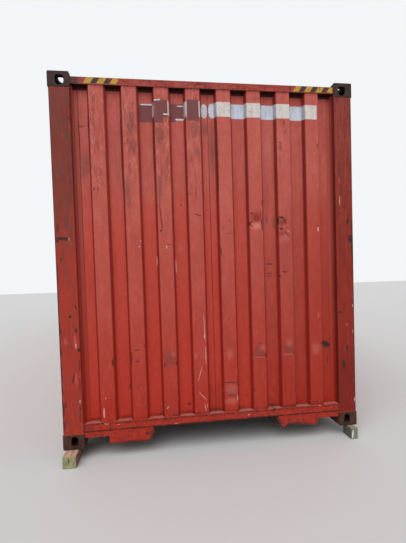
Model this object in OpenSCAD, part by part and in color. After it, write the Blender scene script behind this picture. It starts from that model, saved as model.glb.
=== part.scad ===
/* [Overall] */
// Length over the corner castings
length_l = 12192; // [9125:1:13716]
// Width over the corner castings
width_w = 2438; // [2400:1:2591]
// Height over the corner castings
height_h = 2896; // [2591:1:2908]

/* [Corner castings] */
// Size of a casting along the container
cast_l = 178; // [170:1:184]
// Size of a casting across the container
cast_w = 162; // [158:1:170]
// Height of a casting
cast_h = 118; // [114:1:124]
// Thickness of the wall with the twistlock aperture
cast_plate = 28.5; // [24:0.5:32]
// Thickness of the outer end wall and side wall
cast_wall = 20; // [14:0.5:24]
// Thickness of the closed inner walls
cast_inner = 8; // [6:0.5:8]
// Chamfer along the inner edges of a casting
cast_chamfer = 3; // [2:0.5:5]
// Rounding of the long edges beside a casting's plate
cast_round = 15; // [10:1:17]
// Rounding of the upright outer edge of a casting
cast_corner = 5; // [3:0.5:8]
// Length of the twistlock aperture
lock_slot_l = 124; // [110:0.5:126]
// Width of the twistlock aperture
lock_slot_w = 63.5; // [56:0.5:65]
// Height of the end aperture
end_slot_h = 76; // [70:0.5:77]
// Width of the end aperture in a top casting
end_slot_w = 63.5; // [56:0.5:65]
// Width of the end aperture in a bottom casting
low_slot_w = 52; // [48:0.5:56]
// Rounding of the corners at the flat end of the end aperture
end_slot_r = 16; // [10:0.5:20]
// Length of the side aperture
side_slot_l = 79.5; // [70:0.5:82]
// Height of the side aperture
side_slot_h = 51; // [44:0.5:54]
// Distance from the end face to the middle of the apertures
slot_from_end = 101.5; // [98:0.5:104]
// Distance from the side face to the middle of the apertures
slot_from_side = 89; // [86:0.5:92]
// Distance from the outer face to the middle of the end and side apertures
slot_rise = 67; // [67:0.5:69]

/* [Front frame] */
// How far the posts, header and sill lie behind the casting faces
frame_set = 6; // [3:0.5:8]
// Plate of the corner posts
post_t = 6; // [4:0.5:8]
// Width of the front face of a front post
post_face = 150; // [130:1:160]
// Width of a sloping return of a post
post_slope = 18; // [12:1:24]
// Width of the flange that carries a wall
post_flange = 30; // [20:1:36]
// Depth of the side face of a front post
post_side = 150; // [120:1:160]
// Height of the front header tube
header_h = 54; // [48:1:60]
// Depth of the front header and of the front sill
beam_d = 60; // [55:1:80]
// Wall of the front header and of the front sill
beam_t = 4; // [3:0.5:6]
// Drop from the casting tops to the top of the front header
header_drop = 36; // [34:1:50]
// Height of the bottom of the front sill
sill_low = 130; // [128:1:134]
// Height of the front sill box
sill_h = 66; // [60:1:80]
// Height of the lower edge of the skirt plates
skirt_low = 20; // [15:1:30]
// Height of the lower edge of the lip beside a bottom casting
lip_low = 83; // [70:1:95]
// Distance from the middle to the outer end of a skirt plate
skirt_out = 866; // [800:1:900]
// Height at which the inner edge of a skirt starts to slant
skirt_bend = 90; // [70:1:110]
// Width of the slant at the foot of a skirt's inner edge
skirt_slant = 32; // [20:1:50]
// Height to which the bent foot of the right skirt is dented in
skirt_dent = 54; // [30:1:70]
// Width of the bent foot of the right skirt
skirt_bent_w = 88; // [60:1:120]
// Thickness of the skirt plates
skirt_t = 6; // [4:0.5:8]
// How far the skirt plates lie behind the sill face
skirt_set = 5; // [2:1:10]

/* [Front wall] */
// Number of ridges in the front wall
front_ridges = 8; // [7:1:8]
// Width of a ridge of the front wall
front_ridge = 110; // [100:1:114]
// Width of a trough of the front wall
front_trough = 102; // [98:1:104]
// Width of a slope of the front wall
front_slope = 18; // [14:1:20]
// Depth of the front wall corrugation
front_depth = 45.6; // [36:0.1:48]
// How far the ridges lie behind the header face
ridge_set = 4; // [2:0.5:5]
// Thickness of the front wall sheet
front_t = 2; // [1.6:0.1:3]

/* [Side walls] */
// Width of a ridge of the side walls
side_ridge = 72; // [60:1:90]
// Width of a trough of the side walls
side_trough = 70; // [60:1:90]
// Width of a slope of the side walls
side_slope = 68; // [50:1:70]
// Depth of the side wall corrugation
side_depth = 36; // [28:1:38]
// How far the ridges of the side walls lie inside the casting faces
side_set = 8; // [8:0.5:10]
// Thickness of the side wall sheet
side_t = 2; // [1.6:0.1:3]
// Height of a vent cover
vent_h = 190; // [120:1:240]
// Width of a vent cover
vent_w = 64; // [50:1:68]
// Depth of a vent cover
vent_d = 26; // [16:1:32]
// Sheet of a vent cover
vent_t = 2; // [1.5:0.1:3]
// Gap between the top side rail and a vent cover
vent_drop = 70; // [30:1:150]

/* [Rails] */
// Height of the top side rails
top_rail_h = 60; // [50:1:70]
// Width of the top side rails
top_rail_w = 60; // [50:1:80]
// Wall of the top side rails
top_rail_t = 3; // [2.5:0.5:5]
// Drop from the casting tops to the top of the side rails
top_rail_drop = 30; // [28:1:34]
// Height of the underside of the floor frame above the casting feet
frame_low = 17; // [12.5:0.5:20]
// Height of the bottom side rails
bottom_rail_h = 162; // [150:1:175]
// Width of the flanges of the bottom side rails
bottom_rail_w = 48; // [45:1:60]
// Plate of the bottom side rails
bottom_rail_t = 4.5; // [4:0.5:6]

/* [Roof] */
// Thickness of the roof sheet
roof_t = 2; // [1.6:0.1:3]
// Height of the roof ridges
roof_rise = 20; // [14:1:22]
// Width of a roof ridge
roof_ridge = 91; // [70:1:110]
// Width of a roof trough
roof_trough = 91; // [70:1:110]
// Width of a slope of the roof ridges
roof_slope = 13.5; // [8:0.5:18]
// Flat border of the roof sheet at its sides
roof_border = 95; // [80:1:120]
// Length of the sloping ends of the roof ridges
roof_fade = 30; // [20:1:50]
// Plate of the roof ends
roof_end_t = 3; // [2:0.5:4]
// Size of the corner plates across the container
corner_plate_w = 250; // [150:1:300]

/* [Floor frame] */
// Distance between the cross members
cross_pitch = 300; // [250:1:350]
// Height of the cross members
cross_h = 122; // [110:1:122]
// Width of the flanges of the cross members
cross_w = 45; // [40:1:50]
// Plate of the cross members
cross_t = 4; // [3:0.5:6]
// Thickness of the floor boards
floor_t = 28; // [21:1:30]
// Number of floor boards along the container
floor_rows = 5; // [3:1:8]
// Width of the gooseneck tunnel
tunnel_w = 1029; // [1000:1:1060]
// Length of the gooseneck tunnel
tunnel_l = 3300; // [3150:1:3500]
// Plate of the gooseneck tunnel
tunnel_t = 4; // [3:0.5:6]

/* [Rear frame] */
// Width of the rear face of a rear post
rear_face = 22; // [18:1:26]
// Depth of the side face of a rear post
rear_side = 200; // [200:1:215]
// How far the doors lie behind the rear posts
door_set = 50; // [46:1:56]
// Thickness of the door leaves
door_d = 50; // [46:1:52]
// Thickness of the seals behind the leaves
seal_t = 4; // [3:0.5:6]
// Plate of the rear sill and the rear header
rear_t = 4.5; // [4:0.5:6]
// Width of the inner channel of a rear post
inner_w = 37; // [34:1:40]
// Depth of the inner channel of a rear post
inner_d = 90; // [70:1:92]
// Plate of the inner channel of a rear post
inner_t = 12; // [8:1:14]
// Height of the door stop above the threshold and under the header
stop_h = 26; // [20:1:34]

/* [Doors] */
// Gap round each door leaf
door_gap = 5; // [3:0.5:8]
// Gap between the two leaves
meet_gap = 10; // [6:1:16]
// Width of the upright tubes of a leaf
stile_w = 100; // [80:1:110]
// Height of the top and bottom channels of a leaf
door_rail_h = 150; // [120:1:160]
// Wall of the tubes and channels of a leaf
stile_t = 3.2; // [2.5:0.1:4]
// Width of a ridge of the door panels
door_ridge = 190; // [150:1:200]
// Width of a trough of the door panels
door_trough = 60; // [50:1:80]
// Width of a slope of the door panels
door_slope = 36; // [24:1:40]
// Depth of the door panel corrugation
door_depth = 36; // [24:1:40]
// Thickness of the door panels
door_t = 2; // [1.6:0.1:3]
// Width of the seals
seal_w = 24; // [18:1:28]

/* [Locking gear] */
// Diameter of the lock rods
rod_d = 34; // [27:1:36]
// Wall of the lock rods
rod_t = 3; // [2:0.5:5]
// Distance from the middle to an inner rod
rod_in = 230; // [200:1:260]
// Distance from the middle to an outer rod
rod_out = 850; // [800:1:900]
// How far a rod stands off the leaf
rod_off = 6; // [5:1:8]
// How far a rod reaches past the leaf
rod_past = 48; // [46:1:52]
// Height of a cam
cam_h = 36; // [30:1:37]
// How far a cam's nose reaches from the middle of its rod
cam_l = 48; // [40:1:54]
// Thickness of the jaw that carries a rod's end
keeper_t = 12; // [8:1:14]
// Thickness of a keeper's back plate
keeper_back = 5; // [3:0.5:5]
// Reach of a keeper to the nose's side of its rod
keeper_out = 58; // [50:1:70]
// Reach of a keeper to the other side of its rod
keeper_in = 30; // [20:1:40]
// Height of a guide bracket
guide_h = 40; // [30:1:60]
// Width of a guide bracket
guide_w = 96; // [80:1:110]
// Plate of a guide bracket
guide_t = 4; // [3:0.5:6]
// Number of guide brackets on a rod
guides = 4; // [3:1:4]
// Height of the lower handles
handle_z = 1000; // [960:1:1010]
// Rise from the lower to the upper handles
handle_step = 240; // [220:1:260]
// Length of a handle
handle_l = 520; // [400:1:560]
// Height of a handle's bar
handle_h = 30; // [24:1:36]
// Thickness of a handle's bar
handle_t = 10; // [8:1:10]
// Wall of a handle's hub
hub_t = 5; // [4:0.5:5.5]
// Width of a handle's catch
catch_w = 40; // [30:1:50]
// Height of the plate that carries a catch
catch_plate_h = 340; // [300:1:380]
// Number of hinges on a leaf
hinges = 4; // [3:1:5]
// Diameter of the hinge barrels
hinge_d = 26; // [22:1:28]
// Height of a hinge barrel
hinge_h = 70; // [50:1:90]
// Diameter of the hinge pins
pin_d = 14; // [10:1:16]
// Thickness of a hinge lug
lug_t = 16; // [12:1:20]
// Length of a hinge strap
strap_l = 110; // [80:1:150]
// Thickness of a hinge strap
strap_t = 8; // [6:0.5:10]

/* [Bearers] */
// Height of the timber bearers
bearer_h = 90; // [60:1:150]
// Width of the left bearers
left_bearer_w = 100; // [80:1:150]
// Width of the right bearers
right_bearer_w = 60; // [50:1:100]
// How far a left bearer shows past the casting
left_bearer_out = 100; // [60:1:150]
// How far a right bearer shows past the casting
right_bearer_out = 66; // [40:1:100]
// Distance from the casting's side face to a left bearer
left_bearer_in = 18; // [0:1:40]
// Distance from the casting's side face to a right bearer
right_bearer_in = 34; // [20:1:60]
// Length of a left bearer
left_bearer_l = 400; // [300:1:900]
// Length of a right bearer
right_bearer_l = 130; // [110:1:300]

/* [Hidden] */
$fn = 48;
left = -1;
right = 1;
front = -1;
rear = 1;
// Paint and other finishes
red = [0.66, 0.22, 0.17];
dark_red = [0.45, 0.16, 0.12];
cast_brown = [0.33, 0.17, 0.13];
steel = [0.62, 0.63, 0.64];
black = [0.08, 0.08, 0.08];
ply = [0.55, 0.42, 0.28];
timber = [0.55, 0.47, 0.33];
grey_timber = [0.47, 0.45, 0.42];
// Half sizes and shared planes
hx = width_w / 2;
hy = length_l / 2;
ax = hx - frame_set;
ay = hy - frame_set;
cast_in = hx - cast_w;
cast_back = hy - cast_l;
post_low = cast_h;
post_top = height_h - cast_h;
header_top = height_h - header_drop;
header_low = header_top - header_h;
sill_top = sill_low + sill_h;
wall_back = ridge_set + front_depth;
post_return = post_face + post_slope;
post_edge = post_return + post_flange;
front_edge = ax - post_edge;
rail_side = hx - side_set;
side_in = frame_set - side_set;
side_shift = side_depth - side_in;
side_return = post_side + post_slope;
side_front = post_side + post_slope + post_flange;
rear_return = rear_side + post_slope;
side_rear = rear_return + post_flange;
top_rail_top = height_h - top_rail_drop;
top_rail_low = top_rail_top - top_rail_h;
bottom_rail_top = frame_low + bottom_rail_h;
rail_web = rail_side - bottom_rail_w;
cross_top = frame_low + cross_h;
floor_top = cross_top + floor_t;
stop_v = door_set + door_d + seal_t;
inner_edge = ax - post_t - inner_w;
door_low = floor_top - stop_h;
door_top = post_top - door_gap;
door_side = ax - rear_face;
door_crest = door_set + (door_d - door_depth) / 2;
door_rows = ridge_count(door_top - door_low - 2 * door_rail_h, door_ridge, door_slope,
                        door_trough, 20);
door_pitch = door_ridge + door_trough + 2 * door_slope;
rod_y = door_set - rod_off - rod_d / 2;
rods = [-rod_out, -rod_in, rod_in, rod_out];
running = 0.3;
lap = 30;
eps = 0.01;

// Outline of a bent plate whose outer line is p, t thick to the left of its run
function unit(v) = v / norm(v);
function side_of(a, b) = let (d = unit(b - a)) [-d[1], d[0]];
function mitre(p, i, t) =
    let (n = len(p) - 1,
         a = side_of(p[max(i - 1, 0)], p[max(i, 1)]),
         b = side_of(p[min(i, n - 1)], p[min(i + 1, n)]),
         m = a + b)
    p[i] + m * (2 * t / (m * m));
function plate(p, t) = concat(p, [for (i = [len(p) - 1:-1:0]) mitre(p, i, t)]);

// Outer line of a corrugated sheet from a to b, with n ridges about the middle
function ridges(a, b, n, ridge, slope, trough, depth) =
    let (mid = (a + b) / 2, pitch = ridge + trough + 2 * slope)
    concat([[a, depth]],
           [for (i = [0:n - 1], s = [[-1, 1], [-1, 0], [1, 0], [1, 1]])
               [mid + (i - (n - 1) / 2) * pitch + s[0] * (ridge / 2 + s[1] * slope),
                s[1] * depth]],
           [[b, depth]]);
// How many ridges fit in a length, with a flat of at least m at both ends
function ridge_count(l, ridge, slope, trough, m) =
    floor((l + trough - 2 * m) / (ridge + trough + 2 * slope));

// A profile drawn in [Y, Z], run along X from a to b
module along_x(a, b) {
    translate([a, 0, 0]) rotate([90, 0, 90]) linear_extrude(b - a) children();
}
// A profile drawn in [X, Z], run along Y from a to b
module along_y(a, b) {
    translate([0, b, 0]) rotate([90, 0, 0]) linear_extrude(b - a) children();
}
// A box between two corners
module block(lo, hi) {
    translate(lo) cube(hi - lo);
}
// Puts the container on its bearers
module raised() {
    translate([0, 0, bearer_h]) children();
}
// Puts a shape drawn from an outer corner, with X and Y inwards, at a corner
module corner(side, end, x, y) {
    translate([side * x, end * y, 0])
        mirror([side > 0 ? 1 : 0, 0, 0]) mirror([0, end > 0 ? 1 : 0, 0]) children();
}
// Draws the right half of a shape and mirrors it for the left
module handed(side) {
    mirror([side < 0 ? 1 : 0, 0, 0]) children();
}
// Turns a shape drawn from the rear face, with Y inwards, to the rear end
module from_rear(y) {
    translate([0, y, 0]) mirror([0, 1, 0]) children();
}

// A slot with round ends, long along X, its axis along Z
module slot(l, w, h) {
    r = w / 2;
    reach = l / 2 - r;
    for (s = [-1, 1]) translate([s * reach, 0, 0]) cylinder(r = r, h = h);
    translate([-reach, -r, 0]) cube([2 * reach, w, h]);
}
// A slot along X with a round end at +X and a flat end with round corners at -X
module shield(l, w, r, h) {
    half = w / 2;
    centre = l / 2 - half;
    translate([centre, 0, 0]) cylinder(r = half, h = h);
    for (s = [-1, 1]) translate([r - l / 2, s * (half - r), 0]) cylinder(r = r, h = h);
    translate([r - l / 2, -half, 0]) cube([centre + l / 2 - r, w, h]);
    translate([-l / 2, r - half, 0]) cube([centre + l / 2, w - 2 * r, h]);
}
// What rounds an edge that runs along Z at the origin
module edge_round(r, h) {
    difference() {
        translate([-1, -1, -1]) cube([r + 1, r + 1, h + 2]);
        translate([r, r, -2]) cylinder(r = r, h = h + 4);
    }
}
module chamfered(w, h, c) {
    polygon([[c, 0], [w - c, 0], [w, c], [w, h - c], [w - c, h], [c, h], [0, h - c], [0, c]]);
}
// A bottom corner casting, drawn from its outer corner with all axes inwards
module casting_body(end_w) {
    difference() {
        intersection() {
            linear_extrude(cast_h) chamfered(cast_w, cast_l, cast_chamfer);
            along_x(0, cast_w) chamfered(cast_l, cast_h, cast_chamfer);
            along_y(0, cast_l) chamfered(cast_w, cast_h, cast_chamfer);
        }
        edge_round(cast_corner, cast_h);
        translate([0, cast_l, 0]) rotate([90, 0, 0]) edge_round(cast_round, cast_l);
        translate([cast_w, 0, 0]) rotate([0, 0, 180]) rotate([90, 0, 0])
            edge_round(cast_round, cast_l);
        block([cast_wall, cast_wall, cast_plate],
              [cast_w - cast_inner, cast_l - cast_inner, cast_h - cast_inner]);
        translate([slot_from_side, slot_from_end, -1])
            rotate(90) slot(lock_slot_l, lock_slot_w, cast_plate + 2);
        translate([slot_from_side, cast_wall + 1, slot_rise])
            rotate([90, -90, 0]) shield(end_slot_h, end_w, end_slot_r, cast_wall + 2);
        translate([-1, slot_from_end, slot_rise])
            rotate([90, 0, 90]) slot(side_slot_l, side_slot_h, cast_wall + 2);
    }
}
module casting(side, end, top) {
    color(cast_brown) raised() corner(side, end, hx, hy)
        translate([0, 0, top ? height_h : 0]) mirror([0, 0, top ? 1 : 0])
            casting_body(top ? end_slot_w : low_slot_w);
}

// A front post: a pressed plate from the side wall round the corner to the front wall
module front_post(side) {
    line = [[side_shift, side_front], [side_shift, side_return], [0, post_side], [0, 0],
            [post_face, 0], [post_return, wall_back], [post_edge, wall_back]];
    high = max(top_rail_low, header_low);
    color(red) raised() corner(side, front, ax, ay) difference() {
        translate([0, 0, post_low]) linear_extrude(high - post_low)
            polygon(plate(line, post_t));
        block([-1, -1, post_top], [ax - cast_in, ay - cast_back, high + 1]);
        block([ax - cast_in - 1, -1, header_low], [post_edge + 1, beam_d, high + 1]);
        block([-1, ay - cast_back - 1, top_rail_low],
              [side_shift + post_t + 1, side_front + 1, high + 1]);
        block([post_return, -1, post_low - 1], [post_edge + 1, beam_d, sill_top]);
        block([-1, ay - cast_back, post_low - 1],
              [side_shift + post_t + 1, side_front + 1, bottom_rail_top]);
    }
}
module front_wall() {
    color(red) raised() translate([0, ridge_set - ay, sill_top])
        linear_extrude(header_low - sill_top)
            polygon(plate(ridges(-front_edge, front_edge, front_ridges, front_ridge,
                                 front_slope, front_trough, front_depth), front_t));
}
module front_header() {
    color(red) raised() difference() {
        block([-cast_in, -ay, header_low], [cast_in, beam_d - ay, header_top]);
        block([-cast_in - 1, beam_t - ay, header_low + beam_t],
              [cast_in + 1, beam_d - beam_t - ay, header_top - beam_t]);
    }
}
module front_sill() {
    outer = ax - post_face;
    inner = ax - post_return;
    color(red) raised() translate([0, -ay, 0]) difference() {
        translate([0, 0, sill_low]) linear_extrude(sill_h)
            polygon([[-outer, 0], [outer, 0], [inner, wall_back], [inner, beam_d],
                     [-inner, beam_d], [-inner, wall_back]]);
        block([-outer - 1, beam_t, sill_low + beam_t],
              [outer + 1, beam_d - beam_t, sill_top - beam_t]);
    }
}
module sill_skirts() {
    half = tunnel_w / 2;
    rest = [[skirt_out, lip_low], [cast_in, lip_low], [cast_in, sill_low], [half, sill_low],
            [half, skirt_bend]];
    straight = [[half + skirt_slant, skirt_low], [skirt_out, skirt_low]];
    bent = [[half + skirt_bent_w / 2, skirt_low + skirt_t],
            [half + skirt_bent_w, skirt_dent], [skirt_out, skirt_low + skirt_t]];
    color(red) raised() for (side = [left, right]) handed(side)
        along_y(skirt_set - ay, skirt_set + skirt_t - ay)
            polygon(concat(side == left ? straight : bent, rest));
}

// A rear post: a pressed plate with a narrow rear face and a thick inner channel
module rear_post(side) {
    line = [[side_shift, side_rear], [side_shift, rear_return], [0, rear_side], [0, 0],
            [rear_face, 0], [rear_face, stop_v]];
    channel = [[post_t, stop_v], [post_t + inner_w, stop_v],
               [post_t + inner_w, stop_v + inner_d], [post_t, stop_v + inner_d]];
    color(red) raised() corner(side, rear, ax, ay) difference() {
        translate([0, 0, post_low]) linear_extrude(top_rail_low - post_low) {
            polygon(plate(line, post_t));
            polygon(plate(channel, inner_t));
        }
        block([-1, -1, post_top], [ax - cast_in, ay - cast_back, top_rail_low + 1]);
        block([-1, ay - cast_back, post_low - 1],
              [side_shift + post_t + 1, side_rear + 1, bottom_rail_top]);
    }
}
module rear_header() {
    color(red) raised() from_rear(ay) {
        along_x(-cast_in, cast_in)
            polygon(plate([[stop_v + inner_d, post_top], [door_set, post_top],
                           [door_set, top_rail_top], [stop_v + inner_d, top_rail_top]],
                          -rear_t));
        along_x(-inner_edge, inner_edge)
            polygon([[stop_v, post_top - stop_h], [stop_v + rear_t, post_top - stop_h],
                     [stop_v + rear_t, post_top], [stop_v, post_top]]);
    }
}
module rear_sill() {
    shelf = door_low - door_gap;
    color(red) raised() from_rear(ay) difference() {
        along_x(-inner_edge, inner_edge)
            polygon(plate([[stop_v, frame_low], [door_set, frame_low], [door_set, shelf],
                           [stop_v, shelf], [stop_v, floor_top],
                           [stop_v + cross_w, floor_top]], -rear_t));
        for (side = [left, right]) handed(side)
            block([cast_in, 0, 0], [inner_edge + 1, ay - cast_back, cast_h]);
    }
}
module rain_gutter() {
    lip = 14;
    reach = 32;
    low = top_rail_top - lip - 4;
    color(red) raised() from_rear(ay) along_x(-cast_in, cast_in)
        polygon(plate([[door_set, low], [door_set - reach, low],
                       [door_set - reach, low + lip]], -roof_end_t));
}

// A vent cover, open at its foot, drawn with its back at X 0 and its middle at Y 0
module vent_cover() {
    hood = [[0, 0], [vent_d, 0], [vent_d, vent_h - vent_d], [0, vent_h]];
    inside = [[-1, -1], [vent_d - vent_t, -1], [vent_d - vent_t, vent_h - vent_d - vent_t],
              [-1, vent_h - 2 * vent_t]];
    difference() {
        along_y(-vent_w / 2, vent_w / 2) polygon(hood);
        along_y(vent_t - vent_w / 2, vent_w / 2 - vent_t) polygon(inside);
    }
}
module side_wall(side) {
    a = side_front - ay;
    b = ay - side_rear;
    n = ridge_count(b - a, side_ridge, side_slope, side_trough, post_flange);
    pitch = side_ridge + side_trough + 2 * side_slope;
    color(red) raised() handed(side) translate([rail_side, 0, 0]) {
        translate([0, 0, bottom_rail_top]) linear_extrude(top_rail_low - bottom_rail_top)
            polygon([for (p = plate(ridges(a, b, n, side_ridge, side_slope, side_trough,
                                           side_depth), side_t)) [-p[1], p[0]]]);
        for (end = [front, rear])
            translate([-side_depth, (a + b) / 2 + end * (n / 2 - 2) * pitch,
                       top_rail_low - vent_drop - vent_h]) vent_cover();
    }
}
module top_side_rail(side) {
    color(red) raised() handed(side) difference() {
        block([rail_side - top_rail_w, -cast_back, top_rail_low],
              [rail_side, cast_back, top_rail_top]);
        block([rail_side - top_rail_w + top_rail_t, -cast_back - 1, top_rail_low + top_rail_t],
              [rail_side - top_rail_t, cast_back + 1, top_rail_top - top_rail_t]);
    }
}
module bottom_side_rail(side) {
    color(red) raised() handed(side) along_y(-cast_back, cast_back)
        polygon(plate([[rail_side, bottom_rail_top], [rail_web, bottom_rail_top],
                       [rail_web, frame_low], [rail_side, frame_low]], bottom_rail_t));
}

// The upper form of the roof, whose skin is the roof sheet
module roof_form(over) {
    n = ridge_count(2 * cast_back, roof_ridge, roof_slope, roof_trough, roof_trough / 2);
    sheet = top_rail_top + roof_t;
    root = sheet - roof_t;
    half = rail_side - roof_border;
    fade = roof_fade * (1 + roof_t / roof_rise);
    block([-rail_side - over, -cast_back - over, root - 3 * roof_t],
          [rail_side + over, cast_back + over, sheet]);
    intersection() {
        along_x(-rail_side, rail_side)
            polygon(concat([for (p = ridges(-cast_back, cast_back, n, roof_ridge, roof_slope,
                                            roof_trough, roof_rise))
                                [p[0], sheet + roof_rise - p[1]]],
                           [[cast_back, root], [-cast_back, root]]));
        along_y(-cast_back, cast_back)
            polygon([[-half - fade, root], [-half, sheet + roof_rise],
                     [half, sheet + roof_rise], [half + fade, root]]);
    }
}
module roof_panel() {
    color(red) raised() difference() {
        roof_form(0);
        translate([0, 0, -roof_t]) roof_form(1);
    }
}
module roof_front_plate() {
    flat = top_rail_top - roof_end_t;
    color(red) raised() translate([0, -ay, 0]) along_x(-cast_in, cast_in)
        polygon(plate([[beam_d / 3, header_top], [beam_d, header_top], [beam_d + lap, flat],
                       [ay - cast_back + lap, flat]], roof_end_t));
}
module roof_corner_plates() {
    color(red) raised() for (side = [left, right], end = [front, rear]) corner(side, end, 0, 0)
        block([-cast_in, (end < 0 ? beam_d + lap : door_set) - ay, top_rail_top],
              [corner_plate_w - cast_in, -cast_back, top_rail_top + roof_end_t]);
}

// One cross member along X from a to b
module cross_member(a, b, y) {
    translate([0, y, 0]) along_x(a, b)
        polygon(plate([[cross_w, frame_low], [0, frame_low], [0, cross_top],
                       [cross_w, cross_top]], -cross_t));
}
module cross_members() {
    tunnel_end = tunnel_l - hy;
    start = 20 - cast_back;
    stop = cast_back - cross_w - 20;
    half = tunnel_w / 2 + tunnel_t;
    color(red) raised() for (y = [start:cross_pitch:stop])
        if (y > tunnel_end + cross_w) cross_member(-rail_web, rail_web, y);
        else if (y < tunnel_end - 2 * cross_w)
            for (side = [left, right]) handed(side) cross_member(half, rail_web, y);
}
module gooseneck_tunnel() {
    half = tunnel_w / 2 + tunnel_t;
    tunnel_end = tunnel_l - hy;
    color(dark_red) raised() {
        difference() {
            along_y(skirt_set + skirt_t - ay, tunnel_end)
                polygon(plate([[-half, frame_low], [-half, cross_top], [half, cross_top],
                               [half, frame_low]], -tunnel_t));
            block([-half - 1, -ay, sill_low], [half + 1, beam_d - ay, cross_top + 1]);
            block([-half - 1, -ay, 0], [half + 1, beam_d - ay, skirt_bend]);
        }
        translate([0, tunnel_end, 0]) along_x(-rail_web, rail_web)
            polygon(plate([[cross_w, frame_low], [0, frame_low], [0, cross_top],
                           [cross_w, cross_top]], -cross_t));
    }
}
module floor_boards() {
    start = beam_d - ay;
    stop = ay - stop_v - cross_w;
    l = (stop - start) / floor_rows;
    joint = 2;
    color(ply) raised() for (side = [left, right], i = [0:floor_rows - 1]) handed(side)
        block([joint / 2, start + i * l, cross_top],
              [rail_web - joint, start + (i + 1) * l - joint, floor_top]);
}

// A door leaf, drawn from the rear face with Y inwards and the meeting edge near X 0
module door(side) {
    inner = meet_gap / 2;
    outer = door_side - door_gap;
    low = door_low;
    top = door_top;
    color(red) raised() handed(side) from_rear(ay) {
        difference() {
            block([inner, door_set, low], [outer, door_set + door_d, top]);
            block([inner + stile_w, door_set - 1, low + door_rail_h],
                  [outer - stile_w, door_set + door_d + 1, top - door_rail_h]);
            for (x = [inner, outer - stile_w])
                block([x + stile_t, door_set + stile_t, low - 1],
                      [x + stile_w - stile_t, door_set + door_d - stile_t, top + 1]);
            for (z = [low, top - door_rail_h])
                block([inner + stile_w, door_set + stile_t, z + stile_t],
                      [outer - stile_w, door_set + door_d + 1, z + door_rail_h - stile_t]);
        }
        along_x(inner + stile_w - eps, outer - stile_w + eps)
            polygon([for (p = plate(ridges(low + door_rail_h - eps, top - door_rail_h + eps,
                                           door_rows, door_ridge, door_slope, door_trough,
                                           door_depth), door_t)) [door_crest + p[1], p[0]]]);
    }
}
module door_seals() {
    low = door_low - door_gap;
    v = door_set + door_d;
    color(black) raised() for (side = [left, right]) handed(side) from_rear(ay) difference() {
        block([1, v, low], [door_side, stop_v, post_top]);
        block([1 + seal_w, v - 1, low + seal_w],
              [door_side - seal_w, stop_v + 1, post_top - seal_w]);
    }
}

// A cam: a nose with a round end, forked at mid height
module cam() {
    r = rod_d / 2 - 2;
    difference() {
        union() {
            translate([0, -r, 0]) cube([cam_l - r, 2 * r, cam_h]);
            translate([cam_l - r, 0, 0]) cylinder(r = r, h = cam_h);
        }
        translate([cam_l - r, -rod_d, cam_h / 3]) cube([rod_d, 2 * rod_d, cam_h / 3]);
    }
}
// One lock rod with a cam at both ends
module lock_rod(x) {
    low = door_low - rod_past;
    top = door_top + rod_past;
    color(steel) raised() from_rear(ay) translate([x, rod_y, 0]) difference() {
        union() {
            translate([0, 0, low]) cylinder(d = rod_d, h = top - low);
            for (z = [low, top - cam_h]) translate([0, 0, z]) cam();
        }
        translate([0, 0, low - 1]) cylinder(d = rod_d - 2 * rod_t, h = top - low + 2);
    }
}
// A guide bracket round a rod, whose foot stands at depth seat
module rod_guide(seat) {
    r = rod_d / 2 + guide_t;
    foot = seat - rod_y;
    difference() {
        union() {
            translate([0, 0, -guide_h / 2]) cylinder(r = r, h = guide_h);
            block([-r, 0, -guide_h / 2], [r, foot, guide_h / 2]);
            block([-guide_w / 2, foot - guide_t, -guide_h / 2],
                  [guide_w / 2, foot, guide_h / 2]);
        }
        translate([0, 0, -guide_h / 2 - 1]) cylinder(d = rod_d + 2 * running, h = guide_h + 2);
    }
}
module lock_rod_guides() {
    mid = (door_low + door_top) / 2;
    color(steel) raised() from_rear(ay) for (x = rods) translate([x, rod_y, 0]) {
        for (z = [door_low + door_rail_h / 2, door_top - door_rail_h / 2])
            translate([0, 0, z]) rod_guide(door_set);
        for (i = [1:guides - 2]) {
            row = round(i * (door_rows - 1) / (guides - 1)) - (door_rows - 1) / 2;
            translate([0, 0, mid + row * door_pitch]) rod_guide(door_crest);
        }
    }
}
// A keeper, with Z from the rod's end towards the leaf
module keeper() {
    rim = rod_past - door_gap;
    lip = rod_y - rod_d / 2;
    block([-keeper_in, door_set - keeper_back, -keeper_t], [keeper_out, door_set, rim]);
    block([-keeper_in, lip, -keeper_t], [keeper_out, door_set, 0]);
    block([rod_d / 2 + guide_t, lip, cam_h], [keeper_out, door_set, rim]);
}
module cam_keepers() {
    color(steel) raised() from_rear(ay) for (x = rods) translate([x, 0, 0]) {
        translate([0, 0, door_low - rod_past]) keeper();
        translate([0, 0, door_top + rod_past]) mirror([0, 0, 1]) keeper();
    }
}
// A handle on the rod at x, its bar running towards dir
module door_handle(x, dir, z) {
    r = rod_d / 2 + hub_t;
    bar = rod_y - r;
    catch_x = x + dir * (handle_l - catch_w);
    lip = handle_h / 4;
    difference() {
        union() {
            translate([x, rod_y, z - handle_h / 2]) cylinder(r = r, h = handle_h);
            block([min(x, x + dir * handle_l), bar, z - handle_h / 2],
                  [max(x, x + dir * handle_l), bar + handle_t, z + handle_h / 2]);
        }
        translate([x, rod_y, z - handle_h]) cylinder(d = rod_d + 2 * running, h = 2 * handle_h);
    }
    translate([catch_x - catch_w / 2, 0, z]) difference() {
        union() {
            block([0, bar - hub_t, -handle_h], [catch_w, door_set + eps, handle_h]);
            block([-catch_w / 4, door_set, -catch_plate_h / 2],
                  [catch_w * 5 / 4, door_crest, catch_plate_h / 2]);
        }
        block([-1, bar, -handle_h / 2], [catch_w + 1, bar + handle_t + running, handle_h / 2 + 2]);
        block([-1, bar - hub_t - 1, -lip], [catch_w + 1, bar + 1, handle_h / 2 + 2]);
    }
}
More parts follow.
